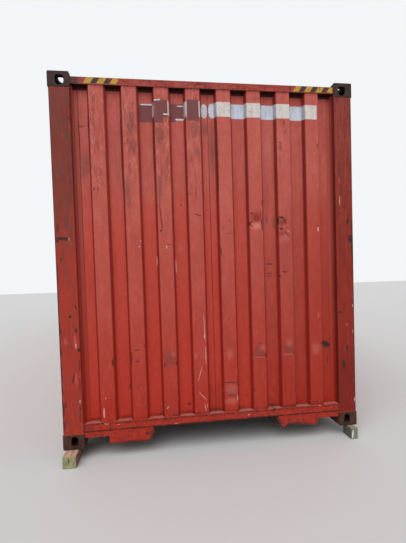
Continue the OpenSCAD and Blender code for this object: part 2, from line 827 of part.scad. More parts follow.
module door_handles() {
    color(steel) raised() from_rear(ay) for (side = [left, right]) handed(side) {
        door_handle(rod_out, -1, handle_z);
        door_handle(rod_in, 1, handle_z + handle_step);
    }
}
module door_hinges() {
    step = (door_top - door_low - 2 * door_rail_h) / (hinges - 1);
    x = door_side - hinge_d / 2;
    y = door_set - hinge_d / 2 - 4;
    half = hinge_h / 2;
    color(dark_red) raised() for (side = [left, right], i = [0:hinges - 1])
        handed(side) from_rear(ay) translate([x, y, door_low + door_rail_h + i * step]) {
            difference() {
                union() {
                    translate([0, 0, -half]) cylinder(d = hinge_d, h = hinge_h);
                    block([-strap_l, door_set - strap_t - y, -half + hinge_d / 3],
                          [0, door_set - y, half - hinge_d / 3]);
                }
                translate([0, 0, -half - 1]) cylinder(d = pin_d + 2 * running, h = hinge_h + 2);
            }
            translate([0, 0, -half - lug_t - 1]) cylinder(d = pin_d, h = hinge_h + 2 * lug_t + 2);
            for (z = [-half - lug_t - 1, half + 1])
                block([-hinge_d / 2, -hinge_d / 2, z], [hinge_d / 2, hinge_d / 2, z + lug_t]);
        }
}

// The timbers under the castings of one side
module bearers(side, w, l, inset, out) {
    for (end = [front, rear]) corner(side, end, hx, hy)
        block([inset, -out, 0], [inset + w, l - out, bearer_h]);
}

front_wall();
front_header();
front_sill();
sill_skirts();
front_post(left);  // front_left_post
front_post(right);  // front_right_post
rear_post(left);  // rear_left_post
rear_post(right);  // rear_right_post
rear_header();
rear_sill();
rain_gutter();
side_wall(left);  // side_wall_left
side_wall(right);  // side_wall_right
top_side_rail(left);  // top_side_rail_left
top_side_rail(right);  // top_side_rail_right
bottom_side_rail(left);  // bottom_side_rail_left
bottom_side_rail(right);  // bottom_side_rail_right
roof_panel();
roof_front_plate();
roof_corner_plates();
casting(left, front, true);  // front_top_left_casting
casting(right, front, true);  // front_top_right_casting
casting(left, front, false);  // front_bottom_left_casting
casting(right, front, false);  // front_bottom_right_casting
casting(left, rear, true);  // rear_top_left_casting
casting(right, rear, true);  // rear_top_right_casting
casting(left, rear, false);  // rear_bottom_left_casting
casting(right, rear, false);  // rear_bottom_right_casting
cross_members();
gooseneck_tunnel();
floor_boards();
door(left);  // door_left
door(right);  // door_right
door_seals();
lock_rod(-rod_out);  // lock_rod_outer_left
lock_rod(-rod_in);  // lock_rod_inner_left
lock_rod(rod_in);  // lock_rod_inner_right
lock_rod(rod_out);  // lock_rod_outer_right
lock_rod_guides();
cam_keepers();
door_handles();
door_hinges();
color(timber) bearers(left, left_bearer_w, left_bearer_l, left_bearer_in, left_bearer_out);  // left_bearers
color(grey_timber) bearers(right, right_bearer_w, right_bearer_l, right_bearer_in, right_bearer_out);  // right_bearers
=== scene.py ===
import math

import bmesh
import bpy
from mathutils import Matrix, Vector, noise


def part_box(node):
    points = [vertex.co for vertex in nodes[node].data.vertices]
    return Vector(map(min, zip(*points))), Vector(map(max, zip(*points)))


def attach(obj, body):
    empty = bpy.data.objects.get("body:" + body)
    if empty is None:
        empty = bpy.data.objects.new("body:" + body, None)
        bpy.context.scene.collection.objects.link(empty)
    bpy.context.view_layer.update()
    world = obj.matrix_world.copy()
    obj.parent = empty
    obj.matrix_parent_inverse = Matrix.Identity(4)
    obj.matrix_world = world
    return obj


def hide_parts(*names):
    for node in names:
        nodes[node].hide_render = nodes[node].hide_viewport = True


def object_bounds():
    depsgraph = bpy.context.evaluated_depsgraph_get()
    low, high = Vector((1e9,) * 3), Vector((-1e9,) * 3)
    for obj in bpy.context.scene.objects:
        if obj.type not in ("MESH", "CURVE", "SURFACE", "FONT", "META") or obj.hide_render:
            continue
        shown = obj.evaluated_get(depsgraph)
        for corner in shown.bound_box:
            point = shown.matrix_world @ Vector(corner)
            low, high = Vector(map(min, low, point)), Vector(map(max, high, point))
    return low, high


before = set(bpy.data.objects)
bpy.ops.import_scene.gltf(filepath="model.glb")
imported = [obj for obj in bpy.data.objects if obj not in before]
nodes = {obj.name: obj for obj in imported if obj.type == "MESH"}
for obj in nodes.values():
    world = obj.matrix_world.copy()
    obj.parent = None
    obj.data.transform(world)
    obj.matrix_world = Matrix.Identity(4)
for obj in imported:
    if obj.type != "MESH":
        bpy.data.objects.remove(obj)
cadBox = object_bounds()
cadLow, cadHigh = cadBox
collection = bpy.context.scene.collection
castingLow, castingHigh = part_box("front_top_left_casting")
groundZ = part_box("front_bottom_left_casting")[0].z    # underside of the castings
headerLow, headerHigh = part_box("front_header")
sillLow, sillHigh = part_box("front_sill")
wallLow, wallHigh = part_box("front_wall")
sideLow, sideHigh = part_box("side_wall_right")
roofLow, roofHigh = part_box("roof_panel")
leftTimber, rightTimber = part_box("left_bearers"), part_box("right_bearers")
print("frame loaded, box", [round(v, 3) for v in cadHigh - cadLow])


# tints are noted as seen on a screen, 0 to 255, and turned into light here
def paint(*tint):
    shares = (c / 255 for c in tint)
    return (*(c / 12.92 if c <= 0.04045 else ((c + 0.055) / 1.055) ** 2.4 for c in shares), 1)


# camera: found from the corner castings, with the photograph's own tilt
camera = dict(place=(-0.444, castingLow.y - 2.635, 1.387), yaw=7.04, pitch=-1.80, roll=-1.79,
              lens=21.91, shift=(0.0070, 0.0335), sensor=36, reach=200)


def makeCamera(c):
    yaw, pitch, roll = (math.radians(c[k]) for k in ("yaw", "pitch", "roll"))
    look = Vector((math.sin(yaw) * math.cos(pitch), math.cos(yaw) * math.cos(pitch),
                   math.sin(pitch)))
    side = Vector((math.cos(yaw), -math.sin(yaw), 0))
    up = side.cross(look)
    side, up = (side * math.cos(roll) + up * math.sin(roll),
                up * math.cos(roll) - side * math.sin(roll))
    data = bpy.data.cameras.new("camera")
    data.lens, data.sensor_width, data.clip_end = c["lens"], c["sensor"], c["reach"]
    data.shift_x, data.shift_y = c["shift"]
    cam = bpy.data.objects.new("camera", data)
    cam.matrix_world = Matrix.Translation(c["place"]) @ Matrix(
        (side, up, -look)).transposed().to_4x4()
    collection.objects.link(cam)
    bpy.context.scene.camera = cam


makeCamera(camera)


# node trees are built with this helper: each node is made after the nodes that feed it
class Tree:
    def __init__(self, tree):
        self.tree = tree

    def put(self, socket, value):
        if isinstance(value, bpy.types.NodeSocket):
            self.tree.links.new(value, socket)
        else:
            socket.default_value = value

    # adds a node and feeds its inputs, by name or number
    def add(self, kind, feeds=None, **props):
        node = self.tree.nodes.new(kind)
        for key, value in props.items():
            setattr(node, key, value)
        for key, value in (feeds or {}).items():
            self.put(node.inputs[key], value)
        return node

    def math(self, op, *values):
        return self.add("ShaderNodeMath", dict(enumerate(values)), operation=op).outputs[0]

    def plus(self, total, *values):
        for value in values:
            total = self.math("ADD", total, value)
        return total

    def minus(self, a, b):
        return self.math("SUBTRACT", a, b)

    def times(self, total, *values):
        for value in values:
            total = self.math("MULTIPLY", total, value)
        return total

    def span(self, value, a, b, lo=0.0, hi=1.0, how="SMOOTHSTEP"):
        feeds = dict(enumerate((value, a, b, lo, hi)))
        return self.add("ShaderNodeMapRange", feeds, interpolation_type=how).outputs[0]


# a material: its tints are laid one over another, on the object's coordinates
class Shade(Tree):
    def __init__(self, name, roughness=0.6, metallic=0.0, shine=0.5):
        self.mat = bpy.data.materials.new(name)
        self.mat.use_nodes = True
        super().__init__(self.mat.node_tree)
        self.bsdf = self.tree.nodes["Principled BSDF"].inputs
        self.put(self.bsdf["Roughness"], roughness)
        self.put(self.bsdf["Metallic"], metallic)
        self.put(self.bsdf["Specular IOR Level"], shine)
        self.place = self.add("ShaderNodeTexCoord").outputs["Object"]
        self.x, self.y, self.z = self.add("ShaderNodeSeparateXYZ", {0: self.place}).outputs
        # the place with its depth left out
        self.face = self.add("ShaderNodeCombineXYZ", {0: self.x, 2: self.z}).outputs[0]

    def mix(self, share, a, b):
        a, b = (paint(*tint) if isinstance(tint, tuple) else tint for tint in (a, b))
        return self.add("ShaderNodeMix", {0: share, 6: a, 7: b}, data_type="RGBA").outputs[2]

    # lays a tint over the colour so far, as strongly as all the shares together
    def lay(self, tint, *shares):
        self.colour = self.mix(self.times(*shares), self.colour, tint)

    def vector(self, op, *values):
        node = self.add("ShaderNodeVectorMath", dict(enumerate(values)), operation=op)
        return node.outputs["Value" if op in ("LENGTH", "DOT_PRODUCT") else "Vector"]

    def noise(self, scale, detail=3.0, rough=0.55, place=None):
        feeds = {"Vector": self.place if place is None else place, "Scale": scale,
                 "Detail": detail, "Roughness": rough}
        return self.add("ShaderNodeTexNoise", feeds).outputs["Fac"]

    def stretch(self, sizes):
        return self.vector("MULTIPLY", self.place, sizes)

    # noise drawn out: a small size makes it long that way
    def streaks(self, sx, sy, sz, detail=5.0, rough=0.75):
        return self.noise(1.0, detail, rough, self.stretch((sx, sy, sz)))

    # roughness that drifts from one value to another
    def sheen(self, low, high):
        return self.span(self.noise(3.0), 0.3, 0.7, low, high)

    # 1 between a and b, soft over the given width
    def between(self, value, a, b, soft):
        return self.times(self.span(value, a - soft, a + soft),
                          self.span(value, b - soft, b + soft, 1.0, 0.0))

    # how far a face looks a given way: 1 straight along it, -1 straight back
    def facing(self, x, y, z):
        normal = self.add("ShaderNodeNewGeometry").outputs["Normal"]
        return self.vector("DOT_PRODUCT", normal, (x, y, z))

    # noise about zero, which wears the edges of marks
    def wear(self, scale, depth):
        return self.times(self.minus(self.noise(scale, 4.0, 0.7), 0.5), depth)

    # the way from a mark's middle, 1 long at its edge
    def away(self, x, z, wide, tall, lean=0):
        if not lean:
            return self.vector("MULTIPLY_ADD", self.face, (1 / wide, 0, 1 / tall),
                               (-x / wide, 0, -z / tall))
        c, s = math.cos(math.radians(lean)), math.sin(math.radians(lean))
        place = self.vector("SUBTRACT", self.face, (x, 0, z))
        along = self.vector("DOT_PRODUCT", place, (c / wide, 0, s / wide))
        across = self.vector("DOT_PRODUCT", place, (-s / tall, 0, c / tall))
        return self.add("ShaderNodeCombineXYZ", {0: along, 2: across}).outputs[0]

    # marks are (x, z, half width, half height), and the lean in degrees where there is one, on
    # an upright face: ellipses, or rectangles where a corner's roundness is given
    def marks(self, spots, worn, corner=None, edge=(0.7, 1.15)):
        near = None
        for spot in spots:
            away = self.away(*spot)
            if corner is None:
                far = self.vector("LENGTH", away)
            else:
                size = self.vector("ABSOLUTE", away)
                far = self.math("SMOOTH_MAX", self.vector("DOT_PRODUCT", size, (1, 0, 0)),
                                self.vector("DOT_PRODUCT", size, (0, 0, 1)), corner)
            near = far if near is None else self.math("MINIMUM", near, far)
        return self.span(self.plus(near, worn), *edge, 1.0, 0.0)

    def finish(self, rough=None, height=None, bump=0.3, distance=0.002):
        self.put(self.bsdf["Base Color"], self.colour)
        if rough is not None:
            self.put(self.bsdf["Roughness"], rough)
        if height is not None:
            feeds = {"Strength": bump, "Distance": distance, "Height": height}
            self.put(self.bsdf["Normal"], self.add("ShaderNodeBump", feeds).outputs[0])
        return self.mat


# weathered red paint, shared by every painted piece: it fades upwards
redPaint = dict(top=(196, 94, 83), low=(178, 48, 32), chalk=(210, 122, 108),
                grime=(98, 34, 26), rust=(78, 42, 30), dark=(50, 20, 17),
                deep=(98, 14, 5), soot=(40, 16, 15), fadeFrom=0.25, fadeTo=2.2, shine=0.2)


def redCoat(name, roughness=0.62, grimy=0.2, streaky=0.2, rusty=0.08, top=redPaint["top"]):
    c = redPaint
    s = Shade(name, roughness, shine=c["shine"])
    cloud = s.noise(1.3, 4.0)
    height = s.plus(s.z, s.times(s.minus(cloud, 0.5), 0.9))
    s.colour = s.mix(s.span(height, c["fadeFrom"], c["fadeTo"], how="LINEAR"), c["low"], top)
    chalky = s.span(s.noise(3.4, 5.0, 0.6), 0.50, 0.74, 0.0, 0.35)
    s.lay(c["chalk"], chalky, s.span(s.z, 0.9, 2.4))
    s.lay(c["grime"], s.span(s.streaks(60, 60, 1.3, 5.0, 0.66), 0.50, 0.74, 0.0, streaky))
    s.lay(c["grime"], s.span(s.streaks(9, 9, 2.2, 4.0, 0.6), 0.48, 0.78, 0.0, grimy))
    mottle = s.streaks(30, 30, 11)
    s.lay(c["grime"], s.span(mottle, 0.42, 0.68, 0.0, 0.16))
    s.lay(c["chalk"], s.span(mottle, 0.30, 0.46, 0.14, 0.0))
    specks = s.span(s.noise(70.0, 3.0, 0.7), 0.61, 0.67)
    s.lay(c["rust"], specks, s.span(s.noise(4.2, 4.0, 0.6), 0.54, 0.64), min(1.0, rusty * 4))
    grain = s.noise(95.0, 3.0, 0.7)
    s.lay(c["grime"], s.span(grain, 0.35, 0.7, 0.0, 0.14))
    s.height = s.plus(grain, s.times(cloud, 2.0))
    return s


def paintMaterial(name, **how):
    s = redCoat(name, **how)
    return s.finish(s.sheen(0.5, 0.72), s.height, 0.15)


def plainMaterial(name, light, dark, scale, rough=0.6, metallic=0.0, sizes=(1, 1, 1), spots=None):
    s = Shade(name, rough, metallic)
    place = s.stretch(sizes)
    cloud = s.noise(scale, 5.0, 0.65, place)
    s.colour = s.mix(s.span(cloud, 0.35, 0.65), light, dark)
    if spots:
        tint, size, share = spots
        s.lay(tint, s.span(s.noise(size, 4.0, 0.7), 0.52, 0.62), share)
    fine = s.noise(scale * 9, 3.0, 0.6, place)
    return s.finish(s.span(cloud, 0.3, 0.7, rough - 0.1, min(1.0, rough + 0.15)), fine)


# cast steel gone brown: unlit and black inside its holes
hollow = dict(tint=(18, 13, 12), share=0.85, wall=0.005, back=0.006, soft=0.001)


def castingMaterial(name, light, dark, spot):
    s = Shade(name, roughness=0.75, shine=0.3)
    s.colour = s.mix(s.span(s.noise(16.0, 5.0, 0.65), 0.35, 0.65), light, dark)
    s.lay(spot, s.span(s.noise(40.0, 4.0, 0.7), 0.54, 0.66), 0.5)
    low, high, h = castingLow, castingHigh, hollow
    middle = (cadLow.y + cadHigh.y) / 2, (groundZ + high.z) / 2
    core = []
    for value, centre, a, b in ((s.x, 0, low.x, high.x), (s.y, middle[0], low.y, high.y),
                                (s.z, middle[1], low.z, high.z)):
        near, far = sorted((abs(a - centre), abs(b - centre)))
        away = s.math("ABSOLUTE", s.minus(value, centre))
        core.append(s.between(away, near + h["wall"], far - h["back"], h["soft"]))
    s.lay(h["tint"], *core, h["share"])
    return s.finish(None, s.noise(150.0), 0.6)


# fold sizes, the same as on the frame's own walls; wave is how far a sheet strays from flat
frontFold = dict(ridges=8, ridge=0.110, slope=0.018, trough=0.102, depth=0.0456, sheet=0.002,
                 bend=0.007, border=0.0, fade=0.0, wave=0.004, rows=131)
sideFold = dict(ridges=42, ridge=0.072, slope=0.068, trough=0.070, depth=0.036, sheet=0.002,
                bend=0.008, border=0.0, fade=0.0, wave=0.006, rows=15)
roofFold = dict(ridges=56, ridge=0.091, slope=0.0135, trough=0.091, depth=0.020, sheet=0.002,
                bend=0.004, border=0.095, fade=0.030, wave=0.004, rows=21)
frontPitch = frontFold["ridge"] + frontFold["trough"] + 2 * frontFold["slope"]

# marks on the front: each tint's colour, share, and where its edge starts and ends to fade; two of
# the tints are painted shadow and painted highlight in the dents
crisp, soft = (0.7, 1.15), (0.35, 1.35)
markTints = dict(soot=((46, 38, 34), 0.9, crisp), dark=((88, 40, 34), 0.75, crisp),
                 smoke=((108, 64, 58), 0.5, soft), rust=((78, 42, 30), 0.8, crisp),
                 faint=((190, 100, 90), 0.5, soft), shade=((134, 38, 28), 0.6, soft),
                 dentHighlight=((212, 120, 107), 0.65, soft),
                 pale=((214, 166, 156), 0.75, crisp))
wallMarks = dict(
    smoke=[(-610, 2620, 35, 120), (-600, 2440, 30, 70, 4), (-395, 2540, 28, 85),
           (-105, 2570, 30, 65), (-105, 2405, 22, 40), (-405, 2100, 18, 110),
           (-655, 2080, 22, 110), (-165, 2070, 14, 12, 30), (-120, 2080, 8, 60),
           (395, 2835, 40, 12, 10), (590, 2450, 16, 30), (585, 2345, 12, 45), (635, 2580, 12, 22),
           (95, 1800, 14, 12), (150, 1850, 8, 20, 30), (140, 1752, 42, 5, 8), (-348, 1875, 4, 60),
           (665, 1830, 6, 40), (537, 1850, 12, 60), (492, 1395, 24, 12), (580, 1378, 14, 8),
           (-925, 880, 6, 90), (-900, 880, 12, 5), (-375, 760, 50, 75), (370, 780, 45, 55),
           (620, 790, 50, 50), (1010, 765, 34, 50), (73, 470, 5, 60), (125, 420, 55, 14),
           (125, 525, 55, 12), (262, 400, 20, 10), (125, 460, 50, 30), (-460, 345, 14, 14),
           # the first smoke mark on the line below is painted shade in the trough beside ridge 5's
           # left flank
           (28, 2450, 22, 250), (-20, 2600, 30, 60), (475, 1870, 12, 50), (-980, 2300, 40, 120),
           (480, 340, 12, 30)],
    # the first four dark marks are painted shade where the troughs meet the left flanks of ridges
    # 1, 2, 3 and 5
    dark=[(-936, 2480, 8, 230), (-692, 2420, 9, 330), (-440, 2420, 9, 240), (64, 2350, 8, 380),
          (-1012, 2500, 5, 170), (-985, 2602, 14, 6, 10), (120, 532, 50, 5), (120, 425, 46, 5),
          (-1000, 2600, 12, 9), (-906, 2107, 7, 14), (-880, 2107, 6, 16), (587, 2490, 20, 4, -25),
          (910, 2475, 7, 9), (912, 2450, 3, 16), (625, 2650, 6, 24), (-403, 1880, 6, 120, 4),
          (-237, 1995, 5, 13, -20), (-107, 1902, 44, 5, -16), (423, 2000, 5, 25),
          (190, 1750, 6, 60), (72, 1610, 6, 45), (332, 1912, 13, 10), (350, 1806, 22, 4, -14),
          (412, 1905, 6, 30), (618, 1852, 10, 26, 25), (640, 1738, 40, 8, -46), (493, 1497, 34, 8),
          (492, 1418, 22, 7), (605, 1428, 26, 7), (905, 1803, 10, 5), (117, 1050, 6, 6),
          (-630, 843, 24, 7), (-570, 865, 6, 6), (-630, 750, 20, 8), (-633, 545, 7, 8),
          (-700, 540, 9, 20), (-223, 363, 20, 11), (-120, 455, 11, 8), (-340, 1672, 28, 3),
          (836, 968, 8, 6), (385, 842, 14, 6), (90, 360, 13, 6), (327, 456, 8, 8),
          (440, 360, 7, 34), (928, 750, 5, 24), (990, 660, 4, 46), (933, 655, 3, 60),
          (850, 316, 30, 8), (390, 738, 10, 6), (-410, 340, 6, 10), (185, 440, 5, 30)],
    # painted shadow in the upper parts of the dents in ridges 6 and 7, and below it painted
    # highlight in their lower parts and at the crease in ridge 7
    shade=[(380, 1880, 50, 45), (590, 1740, 26, 30, -20), (600, 1830, 22, 25)],
    dentHighlight=[(368, 1812, 46, 34), (645, 1765, 16, 10, -40)],
    # the first seven soot marks draw dark rims about the dents in ridges 6 and 7
    soot=[(316, 1828, 10, 18, 20), (332, 1842, 14, 5, 40), (332, 1815, 16, 5, -35),
          (420, 1820, 6, 50), (585, 1878, 24, 9, -8), (561, 1845, 8, 35), (587, 1786, 20, 12),
          (563, 1395, 10, 10), (-936, 2610, 9, 50), (-1068, 2640, 10, 40), (-407, 1778, 7, 14),
          (-820, 755, 6, 36), (-671, 775, 5, 52), (-415, 710, 6, 18), (-320, 718, 6, 15),
          (421, 745, 6, 22), (182, 505, 6, 55), (955, 805, 46, 22, -12), (985, 788, 34, 20),
          (665, 745, 4, 22)],
    faint=[(-635, 2700, 8, 80, 10), (-605, 2710, 30, 12, 20), (-360, 2340, 12, 60, -20),
           (-145, 2430, 10, 110, 6), (610, 1705, 48, 40), (125, 475, 60, 45), (125, 375, 60, 30),
           (-255, 1640, 16, 45), (893, 1050, 11, 30), (400, 800, 28, 26), (630, 830, 30, 40),
           (865, 770, 40, 50), (620, 733, 48, 9), (370, 726, 48, 6), (-345, 795, 16, 24),
           (-160, 770, 12, 30), (120, 770, 30, 50), (-902, 2170, 7, 55), (-658, 2020, 8, 14)],
    pale=[(-85, 1000, 3, 120, 2), (-86, 925, 5, 22), (-80, 765, 3, 70), (-130, 620, 3, 62, -17),
          (-118, 440, 56, 3, -50), (-95, 338, 3, 30, 12), (-80, 350, 2, 22), (-295, 1500, 5, 55),
          (-446, 1545, 4, 36), (-567, 1702, 5, 7), (-580, 1660, 6, 6), (-367, 1650, 6, 13),
          (905, 1775, 7, 22), (-885, 475, 5, 6), (-901, 355, 7, 48), (-400, 364, 4, 14, -30),
          (175, 400, 3, 30)],
)


# marks are noted in whole millimetres, and their lean in degrees
def metres(spots):
    return [[v / 1000 for v in spot[:4]] + [*spot[4:]] for spot in spots]


# lays the marks of each tint over the paint
def spread(s, marks, worn):
    for tint, spots in marks.items():
        shade, share, edge = markTints[tint]
        s.lay(shade, s.marks(metres(spots), worn, edge=edge), share)


# repaint where the old lettering was: maroon patches, thin white frames, a white strip
band = dict(low=2.685, high=2.800, left=0.032, right=0.912, maroon=(112, 66, 66),
            maroonDeep=(114, 64, 68), maroonFlankShade=(62, 30, 30),
            white=(216, 208, 203), whiteDeep=(205, 212, 226),
            whiteFlankShade=(146, 146, 158), smear=(150, 132, 128))
maroonPatches = [(-497, 2713, 52, 70), (-372, 2735, 52, 68), (-392, 2665, 34, 42),
                 (-248, 2737, 52, 58), (-280, 2680, 22, 30), (-124, 2728, 49, 85)]
whiteFrames = [(-485, 2783, 50, 5), (-438, 2722, 6, 46), (-407, 2800, 26, 5, 6),
               (-316, 2738, 7, 56), (-332, 2691, 26, 5), (-220, 2779, 26, 4), (-227, 2673, 34, 6),
               (-184, 2737, 10, 56), (-71, 2742, 5, 60)]
whiteBlots = [(-28, 2745, 25, 54), (36, 2750, 27, 56)]


def repaint(s, flank, deep):
    b = band
    worn = s.wear(36.0, 1.0)
    maroon = s.mix(deep, b["maroon"], b["maroonDeep"])
    # on the flanks the maroon is painted in shade
    maroon = s.mix(s.times(flank, 0.8), maroon, b["maroonFlankShade"])
    s.lay(maroon, s.marks(metres(maroonPatches), s.times(worn, 0.5), 0.3, (0.90, 1.06)), 0.93)
    drop = s.plus(s.times(worn, 0.008), s.times(deep, -0.007))
    strip = s.times(s.between(s.plus(s.z, drop), b["low"], b["high"], 0.003),
                    s.between(s.plus(s.x, s.times(worn, 0.01)), b["left"], b["right"], 0.006))
    for spots, ragged, corner, edge in ((whiteBlots, 0.25, 1.6, (1.0, 1.1)),
                                        (whiteFrames, 0.8, 0.5, (0.9, 1.15))):
        strip = s.math("MAXIMUM", strip,
                       s.marks(metres(spots), s.times(worn, ragged), corner, edge))
    flecks = s.span(s.noise(46.0, 4.0, 0.75), 0.58, 0.64, 1.0, s.span(deep, 0.3, 0.7, 0.3, 0.85))
    white = s.mix(s.span(deep, 0.2, 0.8), b["white"], b["whiteDeep"])
    # on the flanks the white is painted in shade, a blue-grey
    white = s.mix(s.times(flank, 0.8), white, b["whiteFlankShade"])
    white = s.mix(s.span(s.streaks(40, 40, 12), 0.45, 0.7, 0.0, 0.45), white, b["smear"])
    s.lay(white, strip, flecks)


# soot and painted shade in the corner under the header, which thickens from one drop below it to
# the next
def topSootAndShade(s, share, drops=(0.026, 0.014)):
    low, high = (wallHigh.z - drop for drop in drops)
    s.lay(redPaint["soot"], share, s.span(s.z, low, high), 0.92)


# front wall: its ridges are dusty, its troughs richer, and its flanks dark with grime and painted
# shade, less so to the right
wallTints = dict(dust=(190, 92, 82), rich=(202, 58, 40), richRight=(172, 44, 29),
                 stain=(126, 64, 55), vein=(212, 128, 114),
                 leftLow=(128, 30, 20), leftHigh=(100, 20, 13),
                 rightLow=(150, 39, 26), rightHigh=(150, 54, 42))
wallSeams = dict(middle=(-0.004, 0.003), corner=(wallLow.x - 0.010, wallLow.x + 0.005),
                 patch=0.050, patchTop=0.516)


def wallTones(s, ridge, flank, deep):
    c = wallTints
    s.lay(c["dust"], ridge, s.span(s.z, 0.7, 1.6, 0.0, 0.08))
    s.lay(redPaint["deep"], s.span(s.x, 0.2, 1.0), s.span(s.z, 1.2, 2.4, 0.24, 0.02))
    # a richer red towards the right and in the troughs; in the troughs it is also painted light
    # that lifts their shade
    where = s.plus(s.times(deep, s.span(s.x, 0.1, 0.6, 1.0, 0.0)), s.span(s.x, 0.6, 0.95))
    s.lay(s.mix(s.span(s.x, 0.5, 0.9), c["rich"], c["richRight"]),
          where, s.span(s.z, 1.8, 2.3, 0.38, 0.0))
    high = s.times(ridge, s.span(s.z, 1.8, 2.45), s.span(s.x, -0.05, 0.10, 1.0, 0.25))
    s.lay(c["stain"], high, s.span(s.streaks(34, 34, 7, 6.0), 0.48, 0.60), 0.6)
    s.lay(c["vein"], high, s.span(s.streaks(60, 60, 14, 4.0, 0.7), 0.55, 0.64), 0.6)
    rise = s.span(s.z, 1.0, 2.5)
    left = s.mix(rise, c["leftLow"], c["leftHigh"])     # flanks that look left: grime and painted shade, darker than on those that look right
    right = s.mix(rise, c["rightLow"], c["rightHigh"])
    s.lay(s.mix(s.span(s.facing(1, 0, 0), -0.3, 0.3), left, right), flank, 0.86)


def wallEdges(s, deep):
    w, dark = wallSeams, redPaint["dark"]
    # soot and painted shade under the header, strongest in the troughs
    topSootAndShade(s, s.span(deep, 0.5, 0.9, 0.2, 1.0))
    foot = s.span(s.z, wallLow.z + 0.004, wallLow.z + 0.04, 1.0, 0.0)
    s.lay(dark, foot, s.span(s.noise(14.0, 4.0), 0.35, 0.6), 0.55)
    corner = s.times(s.between(s.x, *w["corner"], 0.003), s.span(s.z, 0.6, 2.0, 0.4, 1.4))
    s.lay(dark, s.plus(s.between(s.x, *w["middle"], 0.002), corner), 0.45)
    s.lay(redPaint["grime"], s.between(s.x, -w["patch"], w["patch"], 0.004),
          s.span(s.z, w["patchTop"] - 0.004, w["patchTop"] + 0.004, 0.16, 0.0))


def frontWallMaterial():
    edge, slope = frontFold["ridge"] / 2, frontFold["slope"]
    s = redCoat("frontWallPaint", 0.6)
    deep = s.span(s.y, wallLow.y + 0.003, wallHigh.y - 0.005, how="LINEAR")
    turn = s.minus(s.math("FRACT", s.math("DIVIDE", s.x, frontPitch)), 0.5)
    off = s.times(s.math("ABSOLUTE", turn), frontPitch)    # distance from a ridge's middle
    ridge = s.span(off, edge - 0.003, edge + 0.003, 1.0, 0.0)
    flank = s.between(off, edge + 0.002, edge + slope - 0.001, 0.004)
    wallTones(s, ridge, flank, deep)
    wallEdges(s, deep)
    repaint(s, flank, deep)
    spread(s, wallMarks, s.wear(40.0, 1.5))
    return s.finish(s.sheen(0.48, 0.7), s.height, 0.15)


# header: scraped and dirty, with worn yellow and black hazard stripes that lean, and painted shade
# on its underside and lower edge
header = dict(top=(164, 61, 51), scratch=(208, 132, 120), blotch=(84, 40, 35),
              dirt=(66, 38, 33), under=(34, 12, 11))
stripe = dict(wide=0.049, lean=0.034, spans=[(-0.964, -0.698), (0.700, 1.051)],
              yellow=(190, 156, 58), black=(50, 48, 46))


def headerMaterial():
    c, h = stripe, header
    s = redCoat("headerPaint", grimy=0.3, streaky=0.1, rusty=0.2, top=h["top"])
    s.lay(h["scratch"], s.span(s.streaks(16, 16, 70, 6.0), 0.54, 0.64, 0.0, 0.36))
    blotch = s.noise(26.0, 5.0, 0.75)
    s.lay(h["blotch"], s.span(blotch, 0.50, 0.64, 0.0, 0.7))
    s.lay(h["dirt"], s.span(s.x, -1.03, -0.92, 0.9, 0.0), s.span(blotch, 0.36, 0.5, 0.45, 1.0))
    rise = s.math("DIVIDE", s.minus(s.z, headerLow.z), headerHigh.z - headerLow.z)
    across = s.minus(s.x, s.times(rise, c["lean"]))
    rough = s.noise(40.0, 5.0, 0.7)
    for a, b in c["spans"]:
        turn = s.math("FRACT", s.math("DIVIDE", s.minus(across, a), 2 * c["wide"]))
        tape = s.mix(s.span(turn, 0.50, 0.55), c["yellow"], c["black"])
        s.lay(tape, s.span(across, a - 0.002, a + 0.002),
              s.span(s.x, b - 0.002, b + 0.002, 1.0, 0.0), s.span(rough, 0.36, 0.45),
              s.between(rise, 0.16, 0.97, 0.03), 0.92)
    # painted shade along the lower edge, and a thin dark line along the top
    lip = s.math("MAXIMUM", s.span(rise, 0.02, 0.10, 1.0, 0.0), s.span(rise, 0.97, 1.0))
    s.lay(redPaint["dark"], lip, 0.6)
    # painted shade on the faces that look down
    s.lay(h["under"], s.span(s.facing(0, 0, 1), -0.8, -0.5, 0.95, 0.0))
    return s.finish(None, s.height, 0.15)


